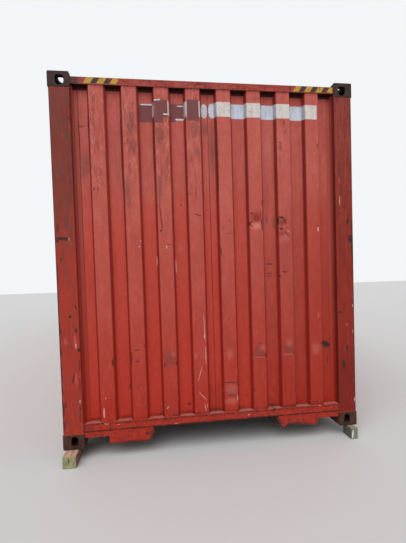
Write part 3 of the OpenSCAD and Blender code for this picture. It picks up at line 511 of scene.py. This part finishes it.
# front posts: darker than the wall on their faces only, with ragged dark outer edges and painted
# shade on their cheeks
post = dict(strip=1.0485, face=1.055, cheek=1.065, outer=1.206, soft=0.003, cheekShadeFrom=0.025,
            cheekShadeTo=0.050, vein=(172, 84, 72), litStripLow=(168, 45, 29),
            litStripHigh=(160, 74, 63), cheekShadeTint=(84, 18, 12), edge=(58, 44, 38))
leftPost = dict(high=(124, 48, 38), low=(166, 51, 38), stain=(84, 58, 46), turn=1.8,
                edgeTop=1.4, cheekShade=0.3, foot=0.0)
rightPost = dict(high=(138, 56, 46), low=(142, 42, 28), stain=(104, 34, 26),
                 turn=2.2, edgeTop=1.8, cheekShade=0.8, foot=0.5)
leftPostMarks = dict(
    smoke=[(-1150, 2250, 20, 60), (-1120, 2000, 15, 50), (-1115, 750, 6, 40, -10),
           (-1190, 325, 18, 10), (-1120, 1395, 20, 6)],
    dark=[(-1072, 2640, 11, 22), (-1090, 2260, 6, 34), (-1080, 2160, 9, 13), (-1173, 1570, 7, 18),
          (-1185, 445, 11, 22), (-1080, 335, 7, 45), (-1205, 400, 12, 60), (-1208, 700, 9, 80),
          (-1206, 860, 10, 45), (-1206, 560, 7, 40), (-1200, 290, 12, 35), (-1206, 1450, 7, 120),
          (-1074, 590, 6, 60), (-1072, 750, 8, 50), (-1076, 410, 7, 30), (-1190, 1800, 10, 40)],
    faint=[(-1096, 935, 14, 50), (-1170, 940, 10, 30), (-1100, 640, 8, 60)],
    soot=[(-1165, 1730, 44, 14), (-1130, 1724, 14, 16), (-1195, 1712, 12, 12), (-1206, 450, 6, 30),
          (-1125, 1130, 11, 13, 30), (-1080, 1200, 6, 22, 20), (-1085, 1020, 8, 22),
          (-1070, 868, 12, 16), (-1202, 1020, 6, 22), (-1120, 650, 6, 38, -12)],
    pale=[(-1092, 905, 6, 22), (-1108, 1722, 3, 12), (-1079, 465, 5, 14)])
rightPostMarks = dict(
    smoke=[(1090, 1040, 16, 16), (1090, 2240, 12, 40)],
    dark=[(1084, 2843, 8, 22), (1202, 2700, 6, 55), (1188, 2643, 28, 3), (1100, 2315, 11, 6),
          (1093, 2265, 4, 50), (1130, 2485, 6, 11), (1098, 1910, 13, 8), (1085, 1315, 9, 6),
          (1148, 680, 3, 70), (1118, 555, 5, 55)],
    soot=[(1167, 1838, 13, 22), (1171, 1880, 5, 24), (1193, 1690, 22, 36), (1206, 1600, 10, 100),
          (1206, 1800, 6, 60), (1203, 2085, 6, 22), (1086, 1070, 18, 10), (1144, 764, 11, 24),
          (1112, 620, 16, 36)],
    faint=[(1100, 2190, 7, 18), (1147, 960, 11, 11)],
    pale=[(1100, 2010, 4, 44), (1200, 1120, 4, 13), (1200, 900, 3, 16), (1205, 310, 6, 20)])


# the colour of a post's face: high and low, streaked, and richer at the foot
def postTone(s, c):
    turn = s.span(s.plus(s.z, s.wear(5.0, 0.8)), c["turn"] - 0.5, c["turn"] + 0.5)
    tone = s.mix(turn, c["low"], c["high"])
    run = s.span(s.streaks(42, 42, 5, 6.0), 0.46, 0.60)
    tone = s.mix(s.times(run, s.span(s.z, 0.6, 2.2, 0.35, 0.75)), tone, c["stain"])
    vein = s.span(s.streaks(50, 50, 9, 5.0, 0.7), 0.56, 0.68, 0.0, 0.45)
    tone = s.mix(vein, tone, post["vein"])
    return s.mix(s.span(s.z, 0.5, 1.0, c["foot"], 0.0), tone, redPaint["deep"])


def postMaterial(name, c, marks):
    p = post
    s = redCoat(name, 0.6)
    tone = postTone(s, c)
    away = s.math("ABSOLUTE", s.x)
    # the strip beside the wall, painted lighter: painted light that lifts the shade the post casts
    # on it. It takes the soot and painted shade under the header too
    inner = s.span(away, p["strip"] - 0.0035, p["strip"] + 0.0035, 1.0, 0.0)
    s.lay(s.mix(s.span(s.z, 0.3, 2.2), p["litStripLow"], p["litStripHigh"]), inner, 0.8)
    topSootAndShade(s, inner)
    s.lay(tone, s.span(away, p["face"] - p["soft"], p["face"] + p["soft"]), 0.94)
    # painted shade on the cheeks, the faces that look sideways, strongest near the front
    s.lay(p["cheekShadeTint"], s.span(s.math("ABSOLUTE", s.facing(1, 0, 0)), 0.6, 0.8),
          s.span(away, p["cheek"] - p["soft"], p["cheek"] + p["soft"], 1.0, 0.0),
          s.span(s.y, castingLow.y + p["cheekShadeFrom"], castingLow.y + p["cheekShadeTo"],
                 c["cheekShade"], c["cheekShade"] / 3))
    frayed = s.plus(away, s.wear(30.0, 0.03))
    s.lay(p["edge"], s.span(frayed, p["outer"] - p["soft"], p["outer"] + p["soft"]),
          s.span(s.z, c["edgeTop"] - 0.1, c["edgeTop"], 0.85, 0.3))
    spread(s, marks, s.wear(40.0, 1.2))
    return s.finish(s.sheen(0.48, 0.7), s.height, 0.15)


# sill and skirts: flecked, with a bare worn ledge on top, rust along the edges, and a dark line
# under the sill that is painted shadow and rust in the seam
sill = dict(dark=(84, 40, 33), light=(196, 96, 84), bare=(176, 108, 98),
            grey=(140, 122, 116), line=(52, 32, 28), rim=(66, 38, 28),
            rimFrom=0.112, rimTo=0.135)
sillMarks = dict(
    rust=[(-972, 193, 15, 8), (740, 168, 10, 15), (660, 148, 72, 8), (-1055, 255, 12, 40),
          (1062, 258, 10, 42), (-570, 168, 22, 14), (-530, 165, 12, 60, -14),
          (525, 185, 12, 60, 22), (855, 165, 6, 45), (720, 135, 60, 14)],
    soot=[(-715, 271, 24, 6), (-505, 273, 14, 7), (-430, 275, 16, 9), (-90, 272, 10, 7),
          (330, 277, 14, 5), (485, 277, 22, 10), (590, 278, 8, 5), (-915, 277, 12, 8),
          (-670, 226, 30, 6)],
    pale=[(-885, 272, 20, 4, -6), (-340, 229, 12, 4), (-795, 260, 8, 3), (265, 253, 10, 5),
          (885, 280, 12, 4)])


def sillMaterial():
    c, top = sill, sillHigh.z
    s = redCoat("sillPaint", grimy=0.3, streaky=0.1, rusty=0.25)
    fleck = s.streaks(30, 30, 46)
    s.lay(c["dark"], s.span(fleck, 0.51, 0.62, 0.0, 0.65))
    s.lay(c["light"], s.span(fleck, 0.30, 0.42, 0.4, 0.0))
    worn = s.mix(s.span(s.noise(2.0, 2.0), 0.46, 0.56), c["bare"], c["grey"])
    s.lay(worn, s.span(s.facing(0, 0, 1), 0.6, 0.9), s.span(s.z, top - 0.02, top - 0.01),
          s.span(s.noise(16.0, 4.0), 0.30, 0.46), 0.9)
    dashes = s.span(s.streaks(11, 11, 3, 4.0, 0.7), 0.32, 0.48)
    # dark broken lines below the top and along the sill's lower edge; the lower one is painted
    # shadow and rust in the seam
    for place, share in ((top - 0.012, 0.55), (sillLow.z + 0.003, 0.9)):
        s.lay(c["line"], s.between(s.z, place - 0.006, place + 0.006, 0.003), dashes, share)
    s.lay(c["rim"], s.span(s.z, c["rimFrom"], c["rimTo"], 1.0, 0.0),
          s.span(s.noise(11.0, 4.0, 0.7), 0.36, 0.55), 0.9)
    spread(s, sillMarks, s.wear(45.0, 1.4))
    return s.finish(None, s.height, 0.2)


# sawn timber: rings on the ends about a heart, long grain on the faces, and painted shade on the
# sides
treated = dict(face=(206, 166, 142), dark=(158, 116, 98), side=(104, 62, 52),
               end=(168, 166, 104), ring=(112, 114, 100), tint=(76, 76, 64),
               heart=(leftTimber[0].x + 0.03, leftTimber[0].z - 0.02),
               marks=[(leftTimber[0].x + 0.045, leftTimber[1].z - 0.030, 0.006, 0.026, 3)])
grey = dict(face=(160, 160, 138), dark=(122, 122, 104), side=(64, 66, 58),
            end=(138, 136, 120), ring=(98, 98, 88), tint=(224, 222, 218),
            heart=(rightTimber[0].x - 0.02, rightTimber[1].z + 0.01),
            marks=[(rightTimber[0].x + 0.015, 0.042, 0.008, 0.040, -6)])


def timberMaterial(name, c):
    s = Shade(name, roughness=0.85)
    grain = s.streaks(60, 2.0, 60, 6.0, 0.7)
    s.colour = s.mix(s.span(grain, 0.36, 0.66), c["face"], c["dark"])
    x, z = s.minus(s.x, c["heart"][0]), s.minus(s.z, c["heart"][1])
    far = s.math("SQRT", s.plus(s.times(x, x), s.times(z, z)))
    far = s.plus(far, s.times(s.noise(9.0, 3.0), 0.012))
    rings = s.math("SINE", s.times(far, 1500.0))
    # painted shade on the sides that face left and right
    s.lay(c["side"], s.span(s.math("ABSOLUTE", s.facing(1, 0, 0)), 0.7, 0.9, 0.0, 0.75))
    cut = s.mix(s.span(rings, -0.6, 0.9, 0.0, 0.5), c["end"], c["ring"])
    cut = s.mix(s.span(s.noise(48.0, 4.0, 0.75), 0.46, 0.58, 0.0, 0.75), cut, c["ring"])
    cut = s.mix(s.times(s.marks(c["marks"], s.wear(60.0, 0.8)), 0.9), cut, c["tint"])
    s.lay(cut, s.span(s.math("ABSOLUTE", s.facing(0, 1, 0)), 0.7, 0.9))
    return s.finish(None, grain, 0.5, 0.003)


materials = dict(
    frame=paintMaterial("framePaint", grimy=0.4, streaky=0.4, rusty=0.2),
    side=paintMaterial("sidePaint", grimy=0.3, streaky=0.3),
    roof=paintMaterial("roofPaint", grimy=0.4, streaky=0.1, top=(186, 104, 94)),
    door=paintMaterial("doorPaint", grimy=0.3, streaky=0.35, rusty=0.16),
    frontWall=frontWallMaterial(),
    header=headerMaterial(),
    sill=sillMaterial(),
    leftPost=postMaterial("leftPostPaint", leftPost, leftPostMarks),
    rightPost=postMaterial("rightPostPaint", rightPost, rightPostMarks),
    topCasting=castingMaterial("topCastingRust", (62, 42, 35), (42, 27, 23),
                               (88, 46, 36)),
    lowCasting=castingMaterial("lowCastingRust", (80, 48, 38), (52, 34, 28),
                               (108, 52, 40)),
    under=plainMaterial("underCoat", (74, 52, 46), (44, 32, 28), scale=3.0, rough=0.8,
                        spots=((112, 66, 42), 12.0, 0.6)),
    plywood=plainMaterial("plywood", (176, 142, 98), (138, 104, 66), scale=3.0, rough=0.7,
                          sizes=(9, 0.8, 9)),
    seal=plainMaterial("sealRubber", (34, 34, 35), (22, 22, 23), scale=20.0, rough=0.75),
    zinc=plainMaterial("zincSteel", (168, 166, 160), (128, 126, 122), scale=14.0, rough=0.45,
                       metallic=0.75, spots=((120, 74, 50), 30.0, 0.5)),
    treated=timberMaterial("treatedTimber", treated),
    grey=timberMaterial("greyTimber", grey),
)
finishes = dict(side="side_wall", roof="roof_", door="door_left door_right",
                header="front_header", sill="front_sill sill_skirts",
                leftPost="front_left_post", rightPost="front_right_post",
                topCasting="_top_left_casting _top_right_casting",
                lowCasting="_bottom_left_casting _bottom_right_casting",
                under="cross_members gooseneck", plywood="floor_boards", seal="door_seals",
                zinc="lock_rod cam_keepers door_handles", treated="left_bearers",
                grey="right_bearers")
for name, piece in nodes.items():
    kind = "frame"
    for key, words in finishes.items():
        if any(w in name for w in words.split()):
            kind = key
    piece.data.materials.clear()
    piece.data.materials.append(materials[kind])
print("materials on", len(nodes), "nodes")


# a Geometry Nodes tree with named inputs for its numbers, and one for its coat
class ShapeTree(Tree):
    def __init__(self, name, numbers, counts=(), host=True):
        super().__init__(bpy.data.node_groups.new(name, "GeometryNodeTree"))
        kinds = [("Geometry", "Geometry")] if host else []
        kinds += [(n, "Int" if n in counts else "Float") for n in numbers] + [("coat", "Material")]
        sockets = self.tree.interface
        for label, kind in kinds:
            sockets.new_socket(label, in_out="INPUT", socket_type="NodeSocket" + kind)
        sockets.new_socket("Geometry", in_out="OUTPUT", socket_type="NodeSocketGeometry")
        self.given = self.add("NodeGroupInput").outputs

    def xyz(self, x=0.0, y=0.0, z=0.0):
        return self.add("ShaderNodeCombineXYZ", {0: x, 1: y, 2: z}).outputs[0]

    # climbs by each rise between one stop and the next
    def climb(self, value, stops, rises):
        return self.plus(*(self.span(value, a, b, 0.0, rise, "LINEAR")
                           for a, b, rise in zip(stops, stops[1:], rises)))

    def join(self, *parts):
        both = self.add("GeometryNodeJoinGeometry")
        for part in parts:
            self.put(both.inputs[0], part)
        return both.outputs[0]

    def finish(self, shape):
        whole = self.add("GeometryNodeRealizeInstances", {0: shape}).outputs[0]
        feeds = {"Geometry": whole, "Material": self.given["coat"]}
        self.add("NodeGroupOutput", {0: self.add("GeometryNodeSetMaterial", feeds).outputs[0]})
        return self.tree


foldInputs = ("start", "end", "tall", *frontFold, "seed")
foldSteps = 24    # columns of a fold
foldStops = (0.0, 0.125, 0.375, 0.5)    # half a fold's columns: flat top, slope, trough
rowStops = (0.0, 0.8, 0.9, 1.0)    # half the rows: folds, fade, border
nearEnd = 0.49999    # the grid ends at 0.5
tie = 0.0001    # gives a column midway between two ridges to the first
touching = 0.00001    # points nearer than this are one


# columns of a folded sheet: evenly spaced ones gather at the bends. Gives x and depth
def foldColumns(t, across):
    g = t.given
    pitch = t.plus(g["ridge"], g["trough"], t.times(g["slope"], 2.0))
    middle = t.times(t.minus(g["ridges"], 1.0), 0.5)
    turn = t.plus(t.times(across, g["ridges"]), middle)
    which = t.math("ROUND", t.minus(turn, tie))
    local = t.minus(turn, which)
    half = t.times(g["ridge"], 0.5)
    flat = t.minus(half, g["bend"])
    foot = t.plus(half, g["slope"], g["bend"])
    rest = t.minus(t.times(pitch, 0.5), foot)
    away = t.climb(t.math("ABSOLUTE", local), foldStops, (flat, t.minus(foot, flat), rest))
    centre = t.times(t.plus(g["start"], g["end"]), 0.5)
    x = t.plus(t.times(t.minus(which, middle), pitch), centre,
               t.times(away, t.math("SIGN", local)))
    first = t.math("LESS_THAN", across, -nearEnd)
    last = t.math("GREATER_THAN", across, nearEnd)
    inner = t.minus(t.minus(1.0, first), last)
    ends = t.plus(t.times(g["start"], first), t.times(g["end"], last))
    fall = t.math("DIVIDE", t.times(t.minus(away, half), g["depth"]), g["slope"])
    y = t.math("SMOOTH_MIN", fall, g["depth"], g["bend"])
    return t.plus(t.times(x, inner), ends), t.math("SMOOTH_MAX", y, 0.0, g["bend"])


# rows: most on the folds, the last ones on the fade and the border. Gives z and how far the
# folds have faded
def foldRows(t, up):
    g = t.given
    v = t.times(t.math("ABSOLUTE", up), 2.0)
    inside = t.minus(t.times(g["tall"], 0.5), t.plus(g["border"], g["fade"]))
    z = t.climb(v, rowStops, (inside, g["fade"], g["border"]))
    plain = t.math("LESS_THAN", g["border"], touching)    # 1 on a sheet without a border
    bordered = t.minus(1.0, plain)
    z = t.plus(t.times(v, g["tall"], 0.5, plain), t.times(z, bordered))
    faded = t.times(t.span(v, *rowStops[1:3], how="LINEAR"), bordered)
    return t.times(z, t.math("SIGN", up)), faded


# a folded sheet along X: ridges by formula, bends rounded, ends of the folds faded out
def makeSheetTree():
    t = ShapeTree("foldedSheet", foldInputs, ("ridges", "rows"), host=False)
    g = t.given
    columns = t.plus(t.times(g["ridges"], foldSteps), 1.0)
    grid = t.add("GeometryNodeMeshGrid", {"Size X": 1.0, "Size Y": 1.0, "Vertices X": columns,
                                          "Vertices Y": g["rows"]}).outputs["Mesh"]
    place = t.add("GeometryNodeInputPosition").outputs[0]
    at = t.add("ShaderNodeSeparateXYZ", {0: place}).outputs
    x, y = foldColumns(t, at[0])
    z, faded = foldRows(t, at[1])
    y = t.plus(y, t.times(faded, t.minus(g["depth"], y)))
    folded = t.add("GeometryNodeSetPosition", {"Geometry": grid, "Position": t.xyz(x, y, z)})
    ripple = t.add("ShaderNodeTexNoise", {"Vector": place, "W": g["seed"], "Scale": 2.3,
                                          "Detail": 1.0}, noise_dimensions="4D").outputs["Fac"]
    push = t.xyz(y=t.times(t.minus(ripple, 0.5), g["wave"]))
    waved = t.add("GeometryNodeSetPosition",
                  {"Geometry": folded.outputs[0], "Offset": push}).outputs[0]
    front = t.add("GeometryNodeExtrudeMesh", {"Mesh": waved, "Offset Scale": g["sheet"],
                                              "Individual": False}, mode="FACES").outputs["Mesh"]
    back = t.add("GeometryNodeFlipFaces", {0: waved}).outputs[0]
    shut = t.add("GeometryNodeMergeByDistance", {"Geometry": t.join(front, back),
                                                 "Distance": touching})
    return t.finish(shut.outputs[0])


sheetTree = makeSheetTree()


# runs a tree once and keeps its result as a plain mesh
def grow(name, tree, turn=Matrix.Identity(4), host=None, crease=50, **values):
    host = bpy.data.objects.new(name + "Host", host or bpy.data.meshes.new(name + "Host"))
    collection.objects.link(host)
    run = host.modifiers.new("grow", "NODES")
    run.node_group = tree
    for item in tree.interface.items_tree:
        if item.in_out == "INPUT" and item.name in values:
            run[item.identifier] = values[item.name]
    host.update_tag()
    mesh = bpy.data.meshes.new_from_object(
        host.evaluated_get(bpy.context.evaluated_depsgraph_get()))
    mesh.name = name
    bpy.data.objects.remove(host)
    mesh.transform(turn)
    mesh.set_sharp_from_angle(angle=math.radians(crease))
    return settle(name, mesh)


# turns a finished bmesh into a piece with one coat
def keep(name, bm, coat, *replaced):
    mesh = bpy.data.meshes.new(name)
    bm.to_mesh(mesh)
    bm.free()
    mesh.materials.append(materials[coat])
    return settle(name, mesh, *replaced)


# makes an object of a mesh, rides it on the container, and hides the nodes that it replaces
def settle(name, mesh, *replaced):
    piece = bpy.data.objects.new(name, mesh)
    collection.objects.link(piece)
    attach(piece, "root")
    for node in replaced:
        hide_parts(node)
    return piece


def report(stage, *pieces):
    print(stage, "with", [len(p.data.polygons) for p in pieces], "faces")


# dents in the ridges, in millimetres: (x, z, half width, half height, depth)
dents = [(368, 1842, 60, 70, 20), (420, 1860, 30, 90, 14), (594, 1828, 46, 60, 18),
         (636, 1747, 40, 50, 8), (120, 440, 60, 100, 4), (-405, 1950, 20, 200, 3)]


def frontWall():
    sheet, middle = frontFold["sheet"], (wallLow.z + wallHigh.z) / 2
    piece = grow("frontWallSheet", sheetTree, Matrix.Translation((0, wallLow.y + sheet, middle)),
                 start=wallLow.x, end=wallHigh.x, tall=wallHigh.z - wallLow.z,
                 coat=materials["frontWall"], **frontFold)
    for x, z, w, h, d in ([n / 1000 for n in dent] for dent in dents):
        for v in piece.data.vertices:
            far = math.hypot((v.co.x - x) / w, (v.co.z - z) / h)
            if far < 1:
                forward = 1 - (v.co.y - wallLow.y) / (wallHigh.y - wallLow.y)
                v.co.y += d * max(0, forward) * (1 - far * far) ** 2
    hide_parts("front_wall")
    return piece


def sideWall(side, sign):
    low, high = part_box("side_wall_" + side)
    face = (high.x if sign > 0 else -low.x) - sideFold["sheet"]
    turn = Matrix.Translation((sign * face, 0, (low.z + high.z) / 2)) @ Matrix.Rotation(
        sign * math.pi / 2, 4, "Z")
    ends = sorted((sign * low.y, sign * high.y))
    piece = grow(side + "WallSheet", sheetTree, turn, start=ends[0], end=ends[1],
                 tall=high.z - low.z, coat=materials["side"], **dict(sideFold, seed=sign * 3.0))
    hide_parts("side_wall_" + side)
    return piece


def roof():
    turn = Matrix.Translation((0, 0, roofHigh.z - roofFold["sheet"])) @ Matrix(
        ((0, 0, -1, 0), (1, 0, 0, 0), (0, -1, 0, 0), (0, 0, 0, 1)))
    piece = grow("roofSheet", sheetTree, turn, start=roofLow.y, end=roofHigh.y,
                 tall=roofHigh.x - roofLow.x, coat=materials["roof"], **dict(roofFold, seed=7.0))
    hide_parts("roof_panel")
    return piece


report("sheets", frontWall(), sideWall("left", -1), sideWall("right", 1), roof())


# vent covers in the side walls' troughs: ribbed hoods that slope off at the top
vent = dict(tall=0.190, wide=0.064, deep=0.026, drop=0.070, folds=19, pitch=0.278, ribs=3,
            lip=0.0015, brow=0.010, browDeep=0.72, ribFoot=0.012, ribTop=0.006, ribHigh=0.003,
            edge=0.003, foot=0.020)


def hood(bm, back, sign, mid, top):
    v = vent
    half, deep, edge = v["wide"] / 2, v["deep"], v["edge"]
    rows = [(top, v["lip"]), (top - v["brow"], deep * v["browDeep"]), (top - deep, deep)]
    for k in range(v["ribs"]):
        z = top - deep - (k + 0.5) * (v["tall"] - deep - v["foot"]) / v["ribs"]
        rows += [(z + v["ribFoot"], deep), (z + v["ribTop"], deep + v["ribHigh"]),
                 (z - v["ribTop"], deep + v["ribHigh"]), (z - v["ribFoot"], deep)]
    rows.append((top - v["tall"], deep))
    rings = [[bm.verts.new((back + sign * out, mid + y, z)) for y, out in
              ((-half, 0), (-half + edge, d), (half - edge, d), (half, 0))] for z, d in rows]
    for a, b in zip(rings, rings[1:]):
        for i in range(4):
            j = (i + 1) % 4
            bm.faces.new((a[i], a[j], b[j], b[i]))
    bm.faces.new(rings[0])
    bm.faces.new(reversed(rings[-1]))
    bmesh.ops.recalc_face_normals(bm, faces=bm.faces)


def ventCovers():
    bm = bmesh.new()
    for sign in (-1, 1):
        for end in (-1, 1):
            mid = (sideLow.y + sideHigh.y) / 2 + end * vent["folds"] * vent["pitch"]
            hood(bm, sign * (sideHigh.x - sideFold["depth"]), sign, mid, sideHigh.z - vent["drop"])
    return keep("ventCovers", bm, "side")


report("vent covers", ventCovers())


# weld beads: ripple is the length of a wave, swell its height as a share of the width
bead = dict(step=0.003, ripple=0.011)
beadForm = dict(sides=6, swell=0.16, uneven=60.0)


# a rippled bead along every edge of the host mesh
def makeWeldTree():
    t = ShapeTree("weldBead", ("width", "step", "ripple"))
    g, c = t.given, beadForm
    line = t.add("GeometryNodeMeshToCurve", {0: g["Geometry"]}).outputs[0]
    fine = t.add("GeometryNodeResampleCurve", {"Curve": line, "Length": g["step"]}, mode="LENGTH")
    along = t.add("GeometryNodeSplineParameter").outputs["Length"]
    wave = t.math("SINE", t.math("DIVIDE", t.times(along, math.tau), g["ripple"]))
    rough = t.add("ShaderNodeTexNoise", {"Scale": c["uneven"]}).outputs["Fac"]
    swell = t.plus(t.times(wave, c["swell"]), t.plus(rough, 0.5))
    radius = t.times(swell, t.times(g["width"], 0.5))
    thick = t.add("GeometryNodeSetCurveRadius", {"Curve": fine.outputs[0], "Radius": radius})
    ring = t.add("GeometryNodeCurvePrimitiveCircle", {"Resolution": c["sides"], "Radius": 1.0})
    bead = t.add("GeometryNodeCurveToMesh", {
        "Curve": thick.outputs[0], "Profile Curve": ring.outputs[0], "Fill Caps": True,
        "Scale": t.add("GeometryNodeInputRadius").outputs[0]})
    return t.finish(bead.outputs[0])


weldTree = makeWeldTree()


def weld(name, lines, coat, width):
    mesh = bpy.data.meshes.new(name + "Lines")
    points, edges = [], []
    for line in lines:
        edges += [(len(points) + i, len(points) + i + 1) for i in range(len(line) - 1)]
        points += line
    mesh.from_pydata(points, edges, [])
    return grow(name, weldTree, host=mesh, width=width, coat=materials[coat], **bead)


# front wall to sill and header and along the posts, and its middle seam
def wallLines(inset=0.002, gap=0.006):
    f, back = frontFold, wallHigh.y - frontFold["sheet"]
    for z in (wallLow.z + inset, wallHigh.z - inset):
        line = [(wallLow.x, back, z)]
        for k in range(f["ridges"]):
            mid = (k - (f["ridges"] - 1) / 2) * frontPitch
            for side, out in ((-1, 1), (-1, 0), (1, 0), (1, 1)):
                x = mid + side * (f["ridge"] / 2 + out * f["slope"])
                line.append((x, (wallLow.y, back)[out], z))
        yield line + [(wallHigh.x, back, z)]
    for x in (wallLow.x + inset, 0.0, wallHigh.x - inset):
        yield [(x, back, wallLow.z + gap), (x, back, wallHigh.z - gap)]


# along two sides of each casting, where its post meets it
def castingLines(inset=0.008):
    for node in nodes:
        if node.endswith("_casting"):
            low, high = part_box(node)
            z = low.z if "_top_" in node else high.z
            x = min(low.x, high.x, key=abs)
            out = math.copysign(cadHigh.x - inset, low.x)
            near, far = (low.y, high.y) if "front" in node else (high.y, low.y)
            y = near + math.copysign(inset, far - near)
            yield [(x, y, z), (out, y, z), (out, far, z)]


report("welds", weld("frontWelds", wallLines(), "frontWall", width=0.005),
       weld("castingWelds", castingLines(), "frame", width=0.008))


# boxes of the separate solids in a node, in the order of their lowest corners
def solids(name):
    bm = bmesh.new()
    bm.from_mesh(nodes[name].data)
    bmesh.ops.remove_doubles(bm, verts=bm.verts, dist=touching)
    todo, found = set(bm.verts), []
    while todo:
        front = [todo.pop()]
        low, high = front[0].co.copy(), front[0].co.copy()
        while front:
            v = front.pop()
            low = Vector(map(min, low, v.co))
            high = Vector(map(max, high, v.co))
            for e in v.link_edges:
                w = e.other_vert(v)
                if w in todo:
                    todo.remove(w)
                    front.append(w)
        found.append((low, high))
    bm.free()
    return sorted(found, key=lambda box: box[0].to_tuple())


# sawn timbers with worn edges, a little out of true between their flat top and underside
sawn = dict(round=0.003, longest=0.05, cuts=9, flat=0.004, wear=0.0012, fine=22)


def timbers(name, node, coat, seed):
    c = sawn
    bm = bmesh.new()
    for low, high in solids(node):
        size, middle = high - low, (low + high) / 2
        for v in bmesh.ops.create_cube(bm, size=1.0)["verts"]:
            v.co = Vector(a * b for a, b in zip(v.co, size)) + middle
    bmesh.ops.bevel(bm, geom=bm.edges[:], offset=c["round"], segments=2, affect="EDGES")
    long = [e for e in bm.edges if e.calc_length() > c["longest"]]
    bmesh.ops.subdivide_edges(bm, edges=long, cuts=c["cuts"], use_grid_fill=True)
    bmesh.ops.recalc_face_normals(bm, faces=bm.faces)
    bm.normal_update()
    for v in bm.verts:
        rough = noise.noise(v.co * c["fine"] + Vector((seed, 0, 0)))
        if low.z + c["flat"] < v.co.z < high.z - c["flat"]:
            v.co -= v.normal * c["wear"] * (1 + rough)
    return keep(name, bm, coat, node)


report("timbers", timbers("leftTimbers", "left_bearers", "treated", seed=3.1),
       timbers("rightTimbers", "right_bearers", "grey", seed=8.4))


# bolts: sides, radius and height of washer and head, as shares of the size
bolt = dict(size=0.018, washer=(16, 0.62, 0.18), head=(6, 0.46, 0.5), lift=0.3, inset=0.012,
            sunkGuide=0.002, sunkKeeper=0.001, seed=0)


# bolt heads with washers, one on every point of the host mesh
def makeBoltTree():
    t = ShapeTree("boltHeads", ("size",))
    size, discs = t.given["size"], []
    for sides, radius, deep in (bolt["washer"], bolt["head"]):
        feeds = {"Vertices": sides, "Radius": t.times(size, radius), "Depth": t.times(size, deep)}
        discs.append(t.add("GeometryNodeMeshCylinder", feeds).outputs["Mesh"])
    up = t.xyz(z=t.times(size, bolt["lift"]))
    lift = t.add("GeometryNodeTransform", {"Geometry": discs[1], "Translation": up})
    spin = t.add("FunctionNodeRandomValue", {"Seed": bolt["seed"]}, data_type="FLOAT").outputs[1]
    place = t.add("GeometryNodeInstanceOnPoints", {
        "Points": t.given["Geometry"], "Instance": t.join(discs[0], lift.outputs[0]),
        "Rotation": t.xyz(-math.pi / 2, t.times(spin, math.tau))})
    return t.finish(place.outputs[0])


def bolts():
    points = []
    for node in ("lock_rod_guides", "cam_keepers"):
        for low, high in solids(node):
            middle = (low.z + high.z) / 2
            y = high.y - bolt["sunkGuide"] if "guides" in node else low.y + bolt["sunkKeeper"]
            points += [(x, y, middle) for x in (low.x + bolt["inset"], high.x - bolt["inset"])]
    mesh = bpy.data.meshes.new("boltPoints")
    mesh.from_pydata(points, [], [])
    return grow("gearBolts", makeBoltTree(), host=mesh, size=bolt["size"],
                coat=materials["zinc"])


report("bolts", bolts())
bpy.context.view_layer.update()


# floor, light and background; the floor lies a little below the timbers
studio = dict(wide=90, below=0.0005, floor=(0.62, 0.62, 0.62, 1),
              sky=(0.62, 0.62, 0.62, 1), seen=(0.90, 0.92, 0.94, 1), sun=1.6,
              sunSpread=50, sunFrom=(-0.35, -0.8, 1.15))


def makeStudio(c):
    bpy.ops.mesh.primitive_plane_add(size=c["wide"], location=(0, 0, cadLow.z - c["below"]))
    floor = bpy.context.object
    floor.name = "studioFloor"
    s = Shade("studioFloor", roughness=0.9)
    s.colour = c["floor"]
    floor.data.materials.append(s.finish())
    world = bpy.data.worlds.new("studio")
    bpy.context.scene.world = world
    world.use_nodes = True
    world.node_tree.nodes.clear()
    t = Tree(world.node_tree)
    path = t.add("ShaderNodeLightPath").outputs
    share = t.math("MAXIMUM", path["Is Camera Ray"], path["Is Glossy Ray"])
    sky, seen = (t.add("ShaderNodeBackground", {0: c[k]}).outputs[0] for k in ("sky", "seen"))
    mixed = t.add("ShaderNodeMixShader", {0: share, 1: sky, 2: seen}).outputs[0]
    t.add("ShaderNodeOutputWorld", {0: mixed})
    sun = bpy.data.lights.new("softSun", "SUN")
    sun.energy, sun.angle = c["sun"], math.radians(c["sunSpread"])
    lamp = bpy.data.objects.new("softSun", sun)
    lamp.rotation_euler = Vector(c["sunFrom"]).to_track_quat("Z", "Y").to_euler()
    collection.objects.link(lamp)
    bpy.context.scene.view_settings.view_transform = "Standard"


makeStudio(studio)
